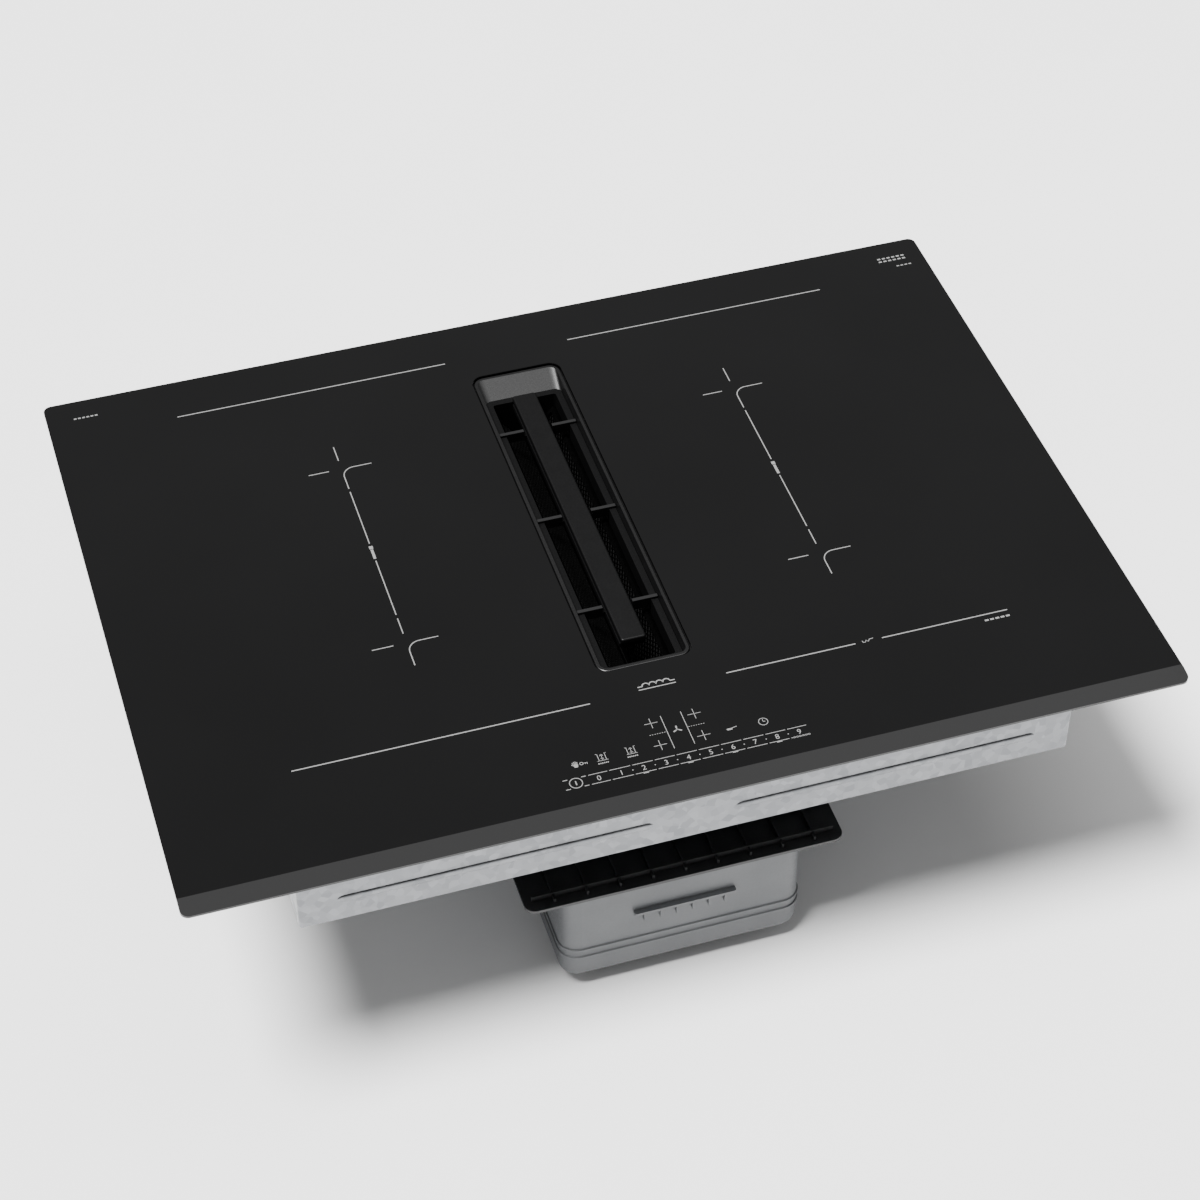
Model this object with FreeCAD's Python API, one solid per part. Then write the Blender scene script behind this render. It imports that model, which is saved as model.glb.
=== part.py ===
import FreeCAD, Part

import math
import os

from FreeCAD import Vector

# A built-in induction hob with a downdraft extractor in its middle.
# Millimetres. +X is right for the user, -Y is the user's side, +Z is up.
# The origin is the middle of the worktop cut-out, on the worktop's top surface.

# ---- Glass top ----
GLASS_W = 710.0
GLASS_D = 522.0
GLASS_T = 4.0
GLASS_CORNER_R = 6.0
GLASS_ARRIS = 0.4
BEVEL_RUN = 14.9
BEVEL_LAND = 1.75
SEAL_T = 1.0
SEAL_W = 9.0
SEAL_INSET = 3.0

# ---- Overall height and the worktop cut-out ----
HEIGHT = 223.0
CUTOUT_W = 560.0
CUTOUT_D = 490.0
CUTOUT_GAP = 3.0

# ---- Air inlet in the glass ----
VENT_W = 70.6
VENT_L = 331.5
VENT_FRONT_Y = -134.0
VENT_CORNER_R = 9.5
COLLAR_GAP = 1.0
COLLAR_RIM_W = 2.8
COLLAR_RIM_DROP = 1.2
COLLAR_RIM_R = 1.0
COLLAR_WALL = 4.0
COLLAR_RAMP_RUN = 21.5
COLLAR_FLANGE_W = 9.0
COLLAR_FLANGE_T = 1.8
COLLAR_PLUG = 15.0
SEAT_DROP = 10.2
SEAT_LIP_W = 3.0

# ---- Lift-out filter cassette ----
LEDGE_DROP = 7.7
LEDGE_W = 5.0
CASSETTE_GAP = 0.3
SKIRT_H = 11.0
CASSETTE_H = 44.0
RIB_T = 2.8
RIB_H = 8.6
RIB_DROP = 5.6
RIB_COUNT = 3
RIB_FIRST = 62.5
RIB_PITCH = 99.6
RIB_NOTCH = 1.9
BAR_W = 18.6
BAR_T = 3.5
BAR_DROP = 3.3
BAR_FRONT_GAP = 23.7
BAR_BACK_GAP = 3.2
BAR_POST_L = 10.0
BAR_POST_W = 7.0
WEB_T = 4.0
WEB_SETBACK = 4.0
MESH_T = 4.0
MESH_GAP = 0.3
MESH_END_GAP = 1.0
RAIL_W = 9.0
RAIL_T = 0.8

# ---- Drip tray under the cassette ----
DRIP_TOP_DROP = 59.0
DRIP_H = 20.0
DRIP_RIM_H = 2.0
DRIP_RIM_W = 1.6
DRIP_WALL = 1.5
DRIP_GAP = 0.6
DRIP_LUG_L = 10.0
DRIP_LUG_T = 3.0

# ---- Sheet-metal tray of the induction unit ----
SHEET = 0.8
TRAY_DEPTH = 58.0
TRAY_RIM_W = 6.0
TRAY_RIM_DROP = 0.2
TRAY_SHAFT_GAP = 3.0
TRAY_WALL_DROP = 2.0
AIR_SLOT_W = 3.0
AIR_SLOT_L = 46.0
AIR_SLOT_PITCH = 8.0
AIR_SLOT_COUNT = 7

# ---- Induction coils ----
COIL_BACK_Y = 125.3
COIL_FRONT_Y = -65.5
COIL_W = 206.0
COIL_D = 184.0
COIL_CORNER_R = 55.0
COIL_EYE_W = 64.0
COIL_EYE_D = 46.0
COIL_EYE_R = 20.0
MICA_T = 0.6
WINDING_T = 6.0
FORMER_T = 3.0
FERRITE_T = 4.0
FERRITE_W = 12.0
FERRITE_L = 52.0
CARRIER_T = 1.5
CARRIER_MARGIN = 4.0
CARRIER_SIDE_GAP = 6.6
SENSOR_R = 6.0
SENSOR_H = 5.0
POST_R = 4.0
POST_INSET = 5.5
POST_BORE_R = 1.6

# ---- Electronics ----
BOARD_T = 1.6
BOARD_LIFT = 7.2
BOARD_SIDE_INSET = 14.6
BOARD_Y0 = -70.0
BOARD_Y1 = 212.0
HEATSINK_W = 150.0
HEATSINK_L = 110.0
HEATSINK_BASE = 4.0
HEATSINK_ROOM = 7.3
PARTS_ROOM = 9.3
FIN_T = 1.6
FIN_COUNT = 16
BLOWER_W = 76.0
BLOWER_ROOM = 16.1
BLOWER_WALL = 1.8
BLOWER_Y = -119.0
BLOWER_INLET_R = 22.0
BLOWER_WHEEL_R = 29.0
BLOWER_WHEEL_ROOM = 3.2
BLOWER_BLADES = 21
CONTROL_W = 196.0
CONTROL_D = 61.0
CONTROL_FRONT_GAP = 0.5
CONTROL_H = 15.0
CONTROL_WALL = 1.5
RIBBON_W = 22.0
RIBBON_T = 1.0
MAINS_BOARD_W = 130.0
MAINS_BOARD_D = 58.0

# ---- Mains terminal box under the tray ----
TERMINAL_X = 210.0
TERMINAL_Y = 186.0
TERMINAL_W = 80.0
TERMINAL_D = 72.0
TERMINAL_H = 42.0
TERMINAL_WALL = 2.0
TERMINAL_EAR = 4.5
TERMINAL_POLES = 5
GLAND_BORE_R = 6.5
GLAND_R = 11.0
GLAND_L = 18.0

# ---- Air shaft and extractor housing ----
SHAFT_WALL = 2.4
SHAFT_FIT = 0.3
SHAFT_TOP_DROP = 11.0
ROOF_T = 3.0
PLENUM_HALF_W = 104.0
PLENUM_END_GAP = 8.0
PLENUM_H = 51.0
PLENUM_DRAIN_GAP = 6.0
MODULE_WALL = 2.5
MODULE_FLANGE_W = 8.0
DECK_FRONT_Y = -232.0
DECK_T = 2.5
DECK_CORNER_R = 8.0
FAN_Y = 45.0
WHEEL_R = 80.0
WHEEL_EYE_R = 64.0
WHEEL_FLOOR_GAP = 6.0
WHEEL_ROOF_GAP = 9.5
WHEEL_PLATE_T = 2.0
BLADE_COUNT = 36
BLADE_T_DEG = 1.2
BLADE_SWEEP_DEG = 7.0
SCROLL_GAPS = (14.0, 22.0, 30.0)
NOZZLE_R = 57.5
NOZZLE_WALL = 2.5
NOZZLE_UP = 12.0
NOZZLE_DOWN = 7.5
PORT_W = 222.0
PORT_H = 89.0
PORT_WALL = 2.5
PORT_L = 22.0
PORT_FLANGE_W = 6.0
DRAIN_W = 60.0
DRAIN_L = 42.0
DRAIN_BACK_GAP = 21.0
DRAIN_SPOUT = 12.0
BOSS_R = 4.5
BOSS_H = 16.0

# ---- Fan motor ----
ROTOR_R = 34.0
ROTOR_WALL = 2.0
ROTOR_H = 40.0
STATOR_R = 30.0
STATOR_H = 30.0
STATOR_TEETH = 9
BEARING_R = 8.0
SHAFT_R = 3.0
SHAFT_CLEAR = 0.05
MOTOR_PLATE_R = 42.0
MOTOR_PLATE_T = 3.0
MOTOR_SCREW_PCD = 68.0

# ---- Overflow tank ----
TANK_W = 180.0
TANK_FRONT_GAP = 6.0
TANK_BACK_GAP = 6.5
TANK_H = 88.0
TANK_WALL = 2.0
TANK_CORNER_R = 14.0
TANK_RIM_W = 4.0
TANK_RIM_T = 3.0
GASKET_T = 1.7
TANK_GAP = 0.3
CATCH_DROP = 11.0
CATCH_OUT = 5.0
CATCH_W = 34.0
LATCH_W = 30.0
LATCH_PIN_R = 1.5
LATCH_PIN_DROP = 4.5
LATCH_PIN_OUT = 11.0
LATCH_KNUCKLE_R = 3.5
LUG_T = 4.0
LUG_GAP = 0.5

# ---- Worktop clamps and fasteners ----
CLAMP_Y = 150.0
CLAMP_W = 30.0
CLAMP_T = 1.5
CLAMP_OUT = 24.0
CLAMP_LEG = 28.0
CLAMP_RISE = 8.0
CLAMP_HOLE_R = 2.1
CLAMP_HOLE_OUT = 15.0
SCREW_R = 1.5
SCREW_HEAD_R = 3.0
SCREW_HEAD_H = 2.0

# ---- Levels worked out from the sizes above ----
Z_GLASS_BOTTOM = SEAL_T
Z_GLASS_TOP = SEAL_T + GLASS_T
Z_BOTTOM = Z_GLASS_TOP - HEIGHT
Z_TRAY_BOTTOM = -TRAY_DEPTH
Z_TRAY_FLOOR = Z_TRAY_BOTTOM + SHEET
Z_ROOF_BOTTOM = Z_TRAY_BOTTOM - ROOF_T
Z_DECK_TOP = Z_ROOF_BOTTOM - PLENUM_H
Z_DECK_BOTTOM = Z_DECK_TOP - DECK_T
Z_FLOOR = Z_BOTTOM + MODULE_WALL
Z_LEDGE = Z_GLASS_TOP - LEDGE_DROP
Z_SEAT = Z_GLASS_TOP - SEAT_DROP
Z_MICA = Z_GLASS_BOTTOM - MICA_T
Z_WINDING = Z_MICA - WINDING_T
Z_FORMER = Z_WINDING - FORMER_T
Z_FERRITE = Z_FORMER - FERRITE_T
Z_CARRIER = Z_FERRITE - CARRIER_T
Z_BOARD = Z_TRAY_FLOOR + BOARD_LIFT
Z_BOARD_TOP = Z_BOARD + BOARD_T
Z_DRIP_TOP = Z_GLASS_TOP - DRIP_TOP_DROP
Z_WHEEL_BOTTOM = Z_FLOOR + WHEEL_FLOOR_GAP
Z_WHEEL_TOP = Z_DECK_BOTTOM - WHEEL_ROOF_GAP
Z_TANK_TOP = Z_DECK_BOTTOM - GASKET_T - TANK_GAP


def grow(rect, by):
    """The rectangle (x0, x1, y0, y1) made larger by the same amount on every side."""
    x0, x1, y0, y1 = rect
    return (x0 - by, x1 + by, y0 - by, y1 + by)


def centred(x, y, width, depth):
    """A rectangle of this width and depth around a point."""
    return (x - width / 2, x + width / 2, y - depth / 2, y + depth / 2)


HEATSINK_H = Z_CARRIER - HEATSINK_ROOM - Z_BOARD_TOP
PARTS_H = Z_CARRIER - PARTS_ROOM - Z_BOARD_TOP
BLOWER_H = Z_CARRIER - BLOWER_ROOM - Z_TRAY_FLOOR
BLOWER_WHEEL_H = BLOWER_H - 2 * BLOWER_WALL - 2 * BLOWER_WHEEL_ROOM

# ---- Outlines in plan ----
GLASS = centred(0, 0, GLASS_W, GLASS_D)
TRAY = centred(0, 0, CUTOUT_W - 2 * CUTOUT_GAP, CUTOUT_D - 2 * CUTOUT_GAP)
VENT = (-VENT_W / 2, VENT_W / 2, VENT_FRONT_Y, VENT_FRONT_Y + VENT_L)
COLLAR = grow(VENT, -COLLAR_GAP)
THROAT_TOP = grow(COLLAR, -COLLAR_RIM_W)
THROAT = (
    COLLAR[0] + COLLAR_WALL,
    COLLAR[1] - COLLAR_WALL,
    COLLAR[2] + COLLAR_WALL,
    COLLAR[3] - COLLAR_RAMP_RUN,
)
SEAT_HOLE = grow(THROAT, -SEAT_LIP_W)
CASSETTE = grow(THROAT, -CASSETTE_GAP)
WINDOW = grow(CASSETTE, -LEDGE_W)
SKIRT = grow(SEAT_HOLE, -CASSETTE_GAP)
SHAFT_IN = grow(COLLAR, SHAFT_FIT)
SHAFT_OUT = grow(SHAFT_IN, SHAFT_WALL)
TRAY_HOLE = grow(SHAFT_OUT, TRAY_SHAFT_GAP)
DRIP_RIM = grow(SEAT_HOLE, -DRIP_GAP)
DRIP = grow(DRIP_RIM, -DRIP_RIM_W)
SCROLL_RADII = [WHEEL_R + gap for gap in SCROLL_GAPS]
SCROLL_HALF_W = (SCROLL_RADII[1] + SCROLL_RADII[2]) / 2
FAN_X = SCROLL_RADII[0] - SCROLL_HALF_W
TANK_BACK_Y = FAN_Y - SCROLL_RADII[1] - MODULE_WALL - TANK_BACK_GAP
DECK_HALF_W = SCROLL_HALF_W + MODULE_WALL + 2 * BOSS_R
TANK = (-TANK_W / 2, TANK_W / 2, DECK_FRONT_Y + TANK_FRONT_GAP, TANK_BACK_Y)
DRAIN = centred(0, TANK_BACK_Y - DRAIN_BACK_GAP - DRAIN_L / 2, DRAIN_W, DRAIN_L)
PLENUM = (
    -PLENUM_HALF_W,
    PLENUM_HALF_W,
    min(SHAFT_OUT[2] - PLENUM_END_GAP, DRAIN[2] - PLENUM_DRAIN_GAP),
    SHAFT_OUT[3] + PLENUM_END_GAP,
)
ROOF = grow(PLENUM, MODULE_FLANGE_W)
DECK = (-DECK_HALF_W, DECK_HALF_W, DECK_FRONT_Y, ROOF[3])
CONTROL = (
    -CONTROL_W / 2,
    CONTROL_W / 2,
    TRAY[2] + SHEET + TRAY_RIM_W + CONTROL_FRONT_GAP,
    TRAY[2] + SHEET + TRAY_RIM_W + CONTROL_FRONT_GAP + CONTROL_D,
)
TERMINAL = centred(TERMINAL_X, TERMINAL_Y, TERMINAL_W, TERMINAL_D)
COIL_X = TRAY_HOLE[1] + SHEET + CARRIER_SIDE_GAP + CARRIER_MARGIN + COIL_W / 2
COIL_BACK = centred(COIL_X, COIL_BACK_Y, COIL_W, COIL_D)
COIL_FRONT = centred(COIL_X, COIL_FRONT_Y, COIL_W, COIL_D)
CARRIER = grow((COIL_BACK[0], COIL_BACK[1], COIL_FRONT[2], COIL_BACK[3]), CARRIER_MARGIN)
BOARD = (CARRIER[0] + BOARD_SIDE_INSET, CARRIER[1] - BOARD_SIDE_INSET, BOARD_Y0, BOARD_Y1)
BLOWER_X = COIL_X
BLOWER = centred(BLOWER_X, BLOWER_Y, BLOWER_W, BLOWER_W)


# ---- Building blocks ----
def block(rect, z0, z1, corner_r=0.0):
    """A flat block over a rectangle, with its upright edges rounded."""
    x0, x1, y0, y1 = rect
    solid = Part.makeBox(x1 - x0, y1 - y0, z1 - z0, Vector(x0, y0, z0))
    if corner_r <= 0:
        return solid
    upright = [e for e in solid.Edges if abs(e.Vertexes[0].Z - e.Vertexes[1].Z) > 0.5 * (z1 - z0)]
    return solid.makeFillet(corner_r, upright)


def ring(outer, inner, z0, z1, outer_r=0.0, inner_r=0.0):
    """A flat frame between two rectangles."""
    return block(outer, z0, z1, outer_r).cut(block(inner, z0 - 1, z1 + 1, inner_r))


def cylinder(x, y, z0, z1, radius):
    return Part.makeCylinder(radius, z1 - z0, Vector(x, y, z0), Vector(0, 0, 1))


def cylinder_along(axis, start, length, radius):
    return Part.makeCylinder(radius, length, start, axis)


def washer(x, y, z0, z1, outer_r, inner_r):
    return cylinder(x, y, z0, z1, outer_r).cut(cylinder(x, y, z0 - 1, z1 + 1, inner_r))


def join(shapes):
    """One solid from touching or overlapping shapes."""
    fused = shapes[0].multiFuse(shapes[1:])
    merged = fused.removeSplitter()
    return merged if merged.isValid() else fused


def group(shapes):
    """Separate solids kept together in one node."""
    return Part.makeCompound([solid for shape in shapes for solid in shape.Solids])


def mirrored(shape):
    """The same shape on the other side of the hob."""
    return shape.mirror(Vector(0, 0, 0), Vector(1, 0, 0))


def prism_along_y(points_xz, y0, y1):
    """A straight bar along Y from its outline in X and Z."""
    corners = [Vector(x, y0, z) for x, z in points_xz]
    face = Part.Face(Part.makePolygon(corners + corners[:1]))
    return face.extrude(Vector(0, y1 - y0, 0))


def rounded_wire(rect, z, corner_r):
    """A closed rectangle wire with round corners at one height."""
    x0, x1, y0, y1 = rect
    centres = ((x1, y0, -90), (x1, y1, 0), (x0, y1, 90), (x0, y0, 180))
    arcs = []
    for x, y, start in centres:
        cx = x - math.copysign(corner_r, x - (x0 + x1) / 2)
        cy = y - math.copysign(corner_r, y - (y0 + y1) / 2)
        points = []
        for turn in (0, 45, 90):
            angle = math.radians(start + turn)
            points.append(Vector(cx + corner_r * math.cos(angle), cy + corner_r * math.sin(angle), z))
        arcs.append(points)
    edges = []
    for i, points in enumerate(arcs):
        edges.append(Part.Arc(*points).toShape())
        edges.append(Part.makeLine(points[-1], arcs[(i + 1) % 4][0]))
    return Part.Wire(edges)


def screw(tip, direction, length):
    """A pan-head screw: its head sits at the far end from the tip, with a cross recess."""
    head_base = tip - direction * length
    shank = cylinder_along(direction, head_base, length, SCREW_R)
    head = cylinder_along(direction * -1, head_base, SCREW_HEAD_H, SCREW_HEAD_R)
    recess_r = SCREW_HEAD_R / 4
    recess_base = head_base - direction * (SCREW_HEAD_H / 2)
    recess = cylinder_along(direction * -1, recess_base, SCREW_HEAD_H, recess_r)
    return shank.fuse(head).cut(recess)


def screw_holes(shape, places, direction, length):
    """The shape with a hole for the shank of each screw."""
    holes = [cylinder_along(direction, tip - direction * length, length + 1, SCREW_R) for tip in places]
    return shape.cut(holes)


def corners_of(rect, inset):
    """The four corners of a rectangle, each moved inwards on both axes."""
    x0, x1, y0, y1 = grow(rect, -inset)
    return ((x0, y0), (x1, y0), (x1, y1), (x0, y1))


UP = Vector(0, 0, 1)
DOWN = Vector(0, 0, -1)
BACKWARDS = Vector(0, 1, 0)
FORWARDS = Vector(0, -1, 0)
RIGHT = Vector(1, 0, 0)


# ---- Glass top and its seals ----
def glass_plate():
    """Ceramic glass: square sides, a wide facet along the front edge, and the air inlet's hole."""
    plate = block(GLASS, Z_GLASS_BOTTOM, Z_GLASS_TOP, GLASS_CORNER_R)
    vent = block(VENT, Z_GLASS_BOTTOM - 1, Z_GLASS_TOP + 1, VENT_CORNER_R)
    front = GLASS[2]
    facet_top = front + BEVEL_RUN
    facet_low = Z_GLASS_BOTTOM + BEVEL_LAND
    slope = (Z_GLASS_TOP - facet_low) / BEVEL_RUN
    wedge_points = (
        (front - 1, facet_low - slope),
        (facet_top + 1, Z_GLASS_TOP + slope),
        (front - 1, Z_GLASS_TOP + slope),
    )
    corners = [Vector(GLASS[0] - 1, y, z) for y, z in wedge_points]
    wedge = Part.Face(Part.makePolygon(corners + corners[:1])).extrude(Vector(GLASS_W + 2, 0, 0))
    plate = plate.cut([vent, wedge])
    top_edges = []
    for edge in plate.Edges:
        heights = [v.Z for v in edge.Vertexes]
        is_top = min(heights) > Z_GLASS_TOP - 0.01
        is_facet_line = edge.BoundBox.YMax < facet_top + 0.01
        if is_top and not is_facet_line:
            top_edges.append(edge)
    return plate.makeChamfer(GLASS_ARRIS, top_edges)


def glass_seal():
    """Foam tape under the glass, which rests on the worktop."""
    outer = grow(GLASS, -SEAL_INSET)
    return ring(outer, grow(outer, -SEAL_W), 0.0, SEAL_T, GLASS_CORNER_R, GLASS_CORNER_R / 2)


def tray_adhesive():
    """The silicone bead that bonds the tray's rim to the glass."""
    inner = grow(TRAY, -TRAY_RIM_W)
    return ring(TRAY, inner, -TRAY_RIM_DROP, Z_GLASS_BOTTOM, 2.0, 1.0)


# ---- Air inlet ----
def inlet_collar():
    """The inlet's moulded lining: thin rim, tapered throat with a long ramp at the back, cassette seat."""
    rim_top = Z_GLASS_TOP - COLLAR_RIM_DROP
    outer_r = VENT_CORNER_R - COLLAR_GAP
    inner_r = outer_r - COLLAR_RIM_W
    body = block(COLLAR, Z_GLASS_TOP - COLLAR_PLUG - COLLAR_RIM_DROP, rim_top, outer_r)
    rim_edges = [e for e in body.Edges if min(v.Z for v in e.Vertexes) > rim_top - 0.01]
    body = body.makeFillet(COLLAR_RIM_R, rim_edges)
    flange = block(
        grow(VENT, COLLAR_FLANGE_W), Z_GLASS_BOTTOM - COLLAR_FLANGE_T, Z_GLASS_BOTTOM, VENT_CORNER_R
    )
    throat = Part.makeLoft(
        [rounded_wire(THROAT, Z_LEDGE, inner_r), rounded_wire(THROAT_TOP, rim_top, inner_r)], True, True
    )
    mouth = block(THROAT_TOP, rim_top, rim_top + 1, inner_r)
    well = block(THROAT, Z_SEAT, Z_LEDGE, inner_r)
    below = block(SEAT_HOLE, Z_SEAT - COLLAR_PLUG, Z_SEAT, inner_r - SEAT_LIP_W / 2)
    return body.fuse(flange).cut([throat, mouth, well, below]).removeSplitter()


def rib_places():
    return [CASSETTE[2] + RIB_FIRST + i * RIB_PITCH for i in range(RIB_COUNT)]


def filter_frame():
    """The cassette's frame: ledge, skirt, end walls, cross ribs and the web that carries the lift bar."""
    corner_r = VENT_CORNER_R - COLLAR_GAP - COLLAR_RIM_W - CASSETTE_GAP
    ledge = ring(CASSETTE, WINDOW, Z_SEAT, Z_LEDGE, corner_r, 2.0)
    skirt_bottom = Z_SEAT - SKIRT_H
    skirt_r = corner_r - SEAT_LIP_W / 2
    skirt = ring(SKIRT, WINDOW, skirt_bottom, Z_SEAT, skirt_r, 2.0)
    pieces = [ledge, skirt]
    end_bottom = Z_LEDGE - CASSETTE_H
    for y0, y1 in ((SKIRT[2], WINDOW[2]), (WINDOW[3], SKIRT[3])):
        end_wall = block((WINDOW[0], WINDOW[1], y0, y1), end_bottom, skirt_bottom)
        pieces.append(end_wall.common(block(SKIRT, end_bottom, skirt_bottom, skirt_r)))
    rib_top = Z_GLASS_TOP - RIB_DROP
    rib_bottom = rib_top - RIB_H
    web_half = BAR_W / 2
    web_top = rib_bottom + WEB_T
    web_front = CASSETTE[2] + BAR_FRONT_GAP + WEB_SETBACK
    pieces.append(block((-web_half, web_half, web_front, WINDOW[3]), rib_bottom, web_top))
    for y in rib_places():
        y0 = y - RIB_T / 2
        y1 = y + RIB_T / 2
        for side in (-1, 1):
            inner = side * (web_half + RIB_NOTCH)
            outer = side * CASSETTE[1]
            x0, x1 = sorted((inner, outer))
            pieces.append(block((x0, x1, y0, y1), Z_SEAT, rib_top))
            x0, x1 = sorted((inner, side * WINDOW[1]))
            pieces.append(block((x0, x1, y0, y1), rib_bottom, Z_SEAT))
            x0, x1 = sorted((side * web_half, inner))
            pieces.append(block((x0, x1, y0, y1), rib_bottom, web_top))
    return join(pieces)


def lift_bar():
    """The long bar that the cassette is lifted by, on posts clipped to the web."""
    y0 = CASSETTE[2] + BAR_FRONT_GAP
    y1 = CASSETTE[3] - BAR_BACK_GAP
    top = Z_GLASS_TOP - BAR_DROP
    bar = block((-BAR_W / 2, BAR_W / 2, y0, y1), top - BAR_T, top, 2.0)
    crown = [e for e in bar.Edges if min(v.Z for v in e.Vertexes) > top - 0.01]
    bar = bar.makeFillet(BAR_T * 0.4, crown)
    web_top = Z_GLASS_TOP - RIB_DROP - RIB_H + WEB_T
    pieces = [bar]
    gaps = 4
    for i in range(gaps + 1):
        y = y0 + BAR_POST_L + i * (y1 - y0 - 2 * BAR_POST_L) / gaps
        pieces.append(block(centred(0, y, BAR_POST_W, BAR_POST_L), web_top, top - BAR_T / 2))
    return join(pieces)


def grease_filter():
    """One side's expanded-metal pack: a flat slab that slopes down to the middle rail."""
    top = Z_SEAT - SKIRT_H / 2
    low = Z_LEDGE - CASSETTE_H + RAIL_T + MESH_GAP
    outer = WINDOW[1] - MESH_GAP
    inner = RAIL_T / 2 + MESH_GAP
    slope = math.atan2(top - low, outer - inner)
    upright = MESH_T / math.cos(slope)
    outline = ((inner, low), (outer, top - upright), (outer, top), (inner, low + upright))
    return prism_along_y(outline, WINDOW[2] + MESH_END_GAP, WINDOW[3] - MESH_END_GAP)


def filter_rail():
    """The folded steel rail under the two packs, which holds their lower edges."""
    bottom = Z_LEDGE - CASSETTE_H
    y0 = WINDOW[2] + MESH_GAP
    y1 = WINDOW[3] - MESH_GAP
    base = block((-RAIL_W / 2, RAIL_W / 2, y0, y1), bottom, bottom + RAIL_T)
    divider = block((-RAIL_T / 2, RAIL_T / 2, y0, y1), bottom, bottom + RAIL_W)
    return join([base, divider])


def collecting_tray():
    """The drip tray under the cassette, hung by its rim on the shaft's lugs."""
    rim_bottom = Z_DRIP_TOP - DRIP_RIM_H
    rim = block(DRIP_RIM, rim_bottom, Z_DRIP_TOP, 3.0)
    pan = block(DRIP, Z_DRIP_TOP - DRIP_H, rim_bottom, 2.5)
    inside = block(grow(DRIP, -DRIP_WALL), Z_DRIP_TOP - DRIP_H + DRIP_WALL, Z_DRIP_TOP + 1, 1.5)
    return pan.fuse(rim).cut(inside).removeSplitter()


# ---- Induction tray ----
def module_screw_places():
    """Screws from the plenum's flange up through the shaft's roof into the tray floor."""
    inset = MODULE_FLANGE_W / 2
    x0, x1, y0, y1 = grow(ROOF, -inset)
    tips = []
    for x in (x0, x1):
        for i in range(4):
            tips.append(Vector(x, y0 + i * (y1 - y0) / 3, Z_TRAY_FLOOR + 2))
    return tips


MODULE_SCREW_L = SHEET + 2 + ROOF_T + MODULE_WALL


def bracket_screw_places():
    """Two screws in each worktop clamp, into the tray's side walls."""
    places = []
    leg_middle = Z_TRAY_BOTTOM + CLAMP_RISE + CLAMP_T + CLAMP_LEG / 2
    for side in (-1, 1):
        direction = Vector(-side, 0, 0)
        tip_x = side * (TRAY[1] - SHEET - 2)
        for y in (-CLAMP_Y, CLAMP_Y):
            for step in (-CLAMP_W / 4, CLAMP_W / 4):
                places.append((Vector(tip_x, y + step, leg_middle), direction))
    return places


BRACKET_SCREW_L = SHEET + 2 + CLAMP_T


def terminal_screw_places():
    """Screws through the terminal cover's four ears into the tray floor."""
    tips = []
    for x in (TERMINAL[0] - TERMINAL_EAR, TERMINAL[1] + TERMINAL_EAR):
        for y in (TERMINAL_Y - TERMINAL_D / 3, TERMINAL_Y + TERMINAL_D / 3):
            tips.append(Vector(x, y, Z_TRAY_FLOOR + 2))
    return tips


TERMINAL_SCREW_L = SHEET + 2 + TERMINAL_WALL


def induction_tray():
    """Galvanised steel box under the glass: floor, rimmed outer walls, walls round the shaft."""
    z_inner_top = -TRAY_WALL_DROP
    rim_top = -TRAY_RIM_DROP
    shell = block(TRAY, Z_TRAY_BOTTOM, rim_top, 2.0)
    room = block(grow(TRAY, -SHEET), Z_TRAY_FLOOR, rim_top - SHEET, 1.5)
    mouth = block(grow(TRAY, -TRAY_RIM_W), rim_top - SHEET - 1, rim_top + 1, 1.0)
    shell = shell.cut([room, mouth])
    well = ring(grow(TRAY_HOLE, SHEET), TRAY_HOLE, Z_TRAY_FLOOR, z_inner_top)
    hole = block(TRAY_HOLE, Z_TRAY_BOTTOM - 1, Z_TRAY_FLOOR + 1)
    tray = shell.fuse(well).cut(hole)
    slots = []
    for side in (-1, 1):
        for i in range(AIR_SLOT_COUNT):
            y = BLOWER_Y + (i - (AIR_SLOT_COUNT - 1) / 2) * AIR_SLOT_PITCH
            slots.append(
                block(
                    centred(side * BLOWER_X, y, AIR_SLOT_L, AIR_SLOT_W),
                    Z_TRAY_BOTTOM - 1,
                    Z_TRAY_FLOOR + 1,
                    AIR_SLOT_W * 0.45,
                )
            )
    tray = tray.cut(slots)
    tray = screw_holes(tray, module_screw_places(), UP, MODULE_SCREW_L)
    tray = screw_holes(tray, terminal_screw_places(), UP, TERMINAL_SCREW_L)
    for tip, direction in bracket_screw_places():
        tray = screw_holes(tray, [tip], direction, BRACKET_SCREW_L)
    return tray


# ---- Coils ----
def coil_eye(rect):
    x = (rect[0] + rect[1]) / 2
    y = (rect[2] + rect[3]) / 2
    return centred(x, y, COIL_EYE_W, COIL_EYE_D)


def coil(rect):
    """The litz winding: a flat rounded coil round an open eye."""
    return ring(rect, coil_eye(rect), Z_WINDING, Z_MICA, COIL_CORNER_R, COIL_EYE_R)


def coil_former(rect):
    """The plastic plate that holds the winding, with a bridge across the eye for the sensor."""
    plate = ring(rect, coil_eye(rect), Z_FORMER, Z_WINDING, COIL_CORNER_R, COIL_EYE_R)
    eye = coil_eye(rect)
    y = (rect[2] + rect[3]) / 2
    bridge = block((eye[0], eye[1], y - SENSOR_R - 3, y + SENSOR_R + 3), Z_FORMER, Z_WINDING)
    return join([plate, bridge])


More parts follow.
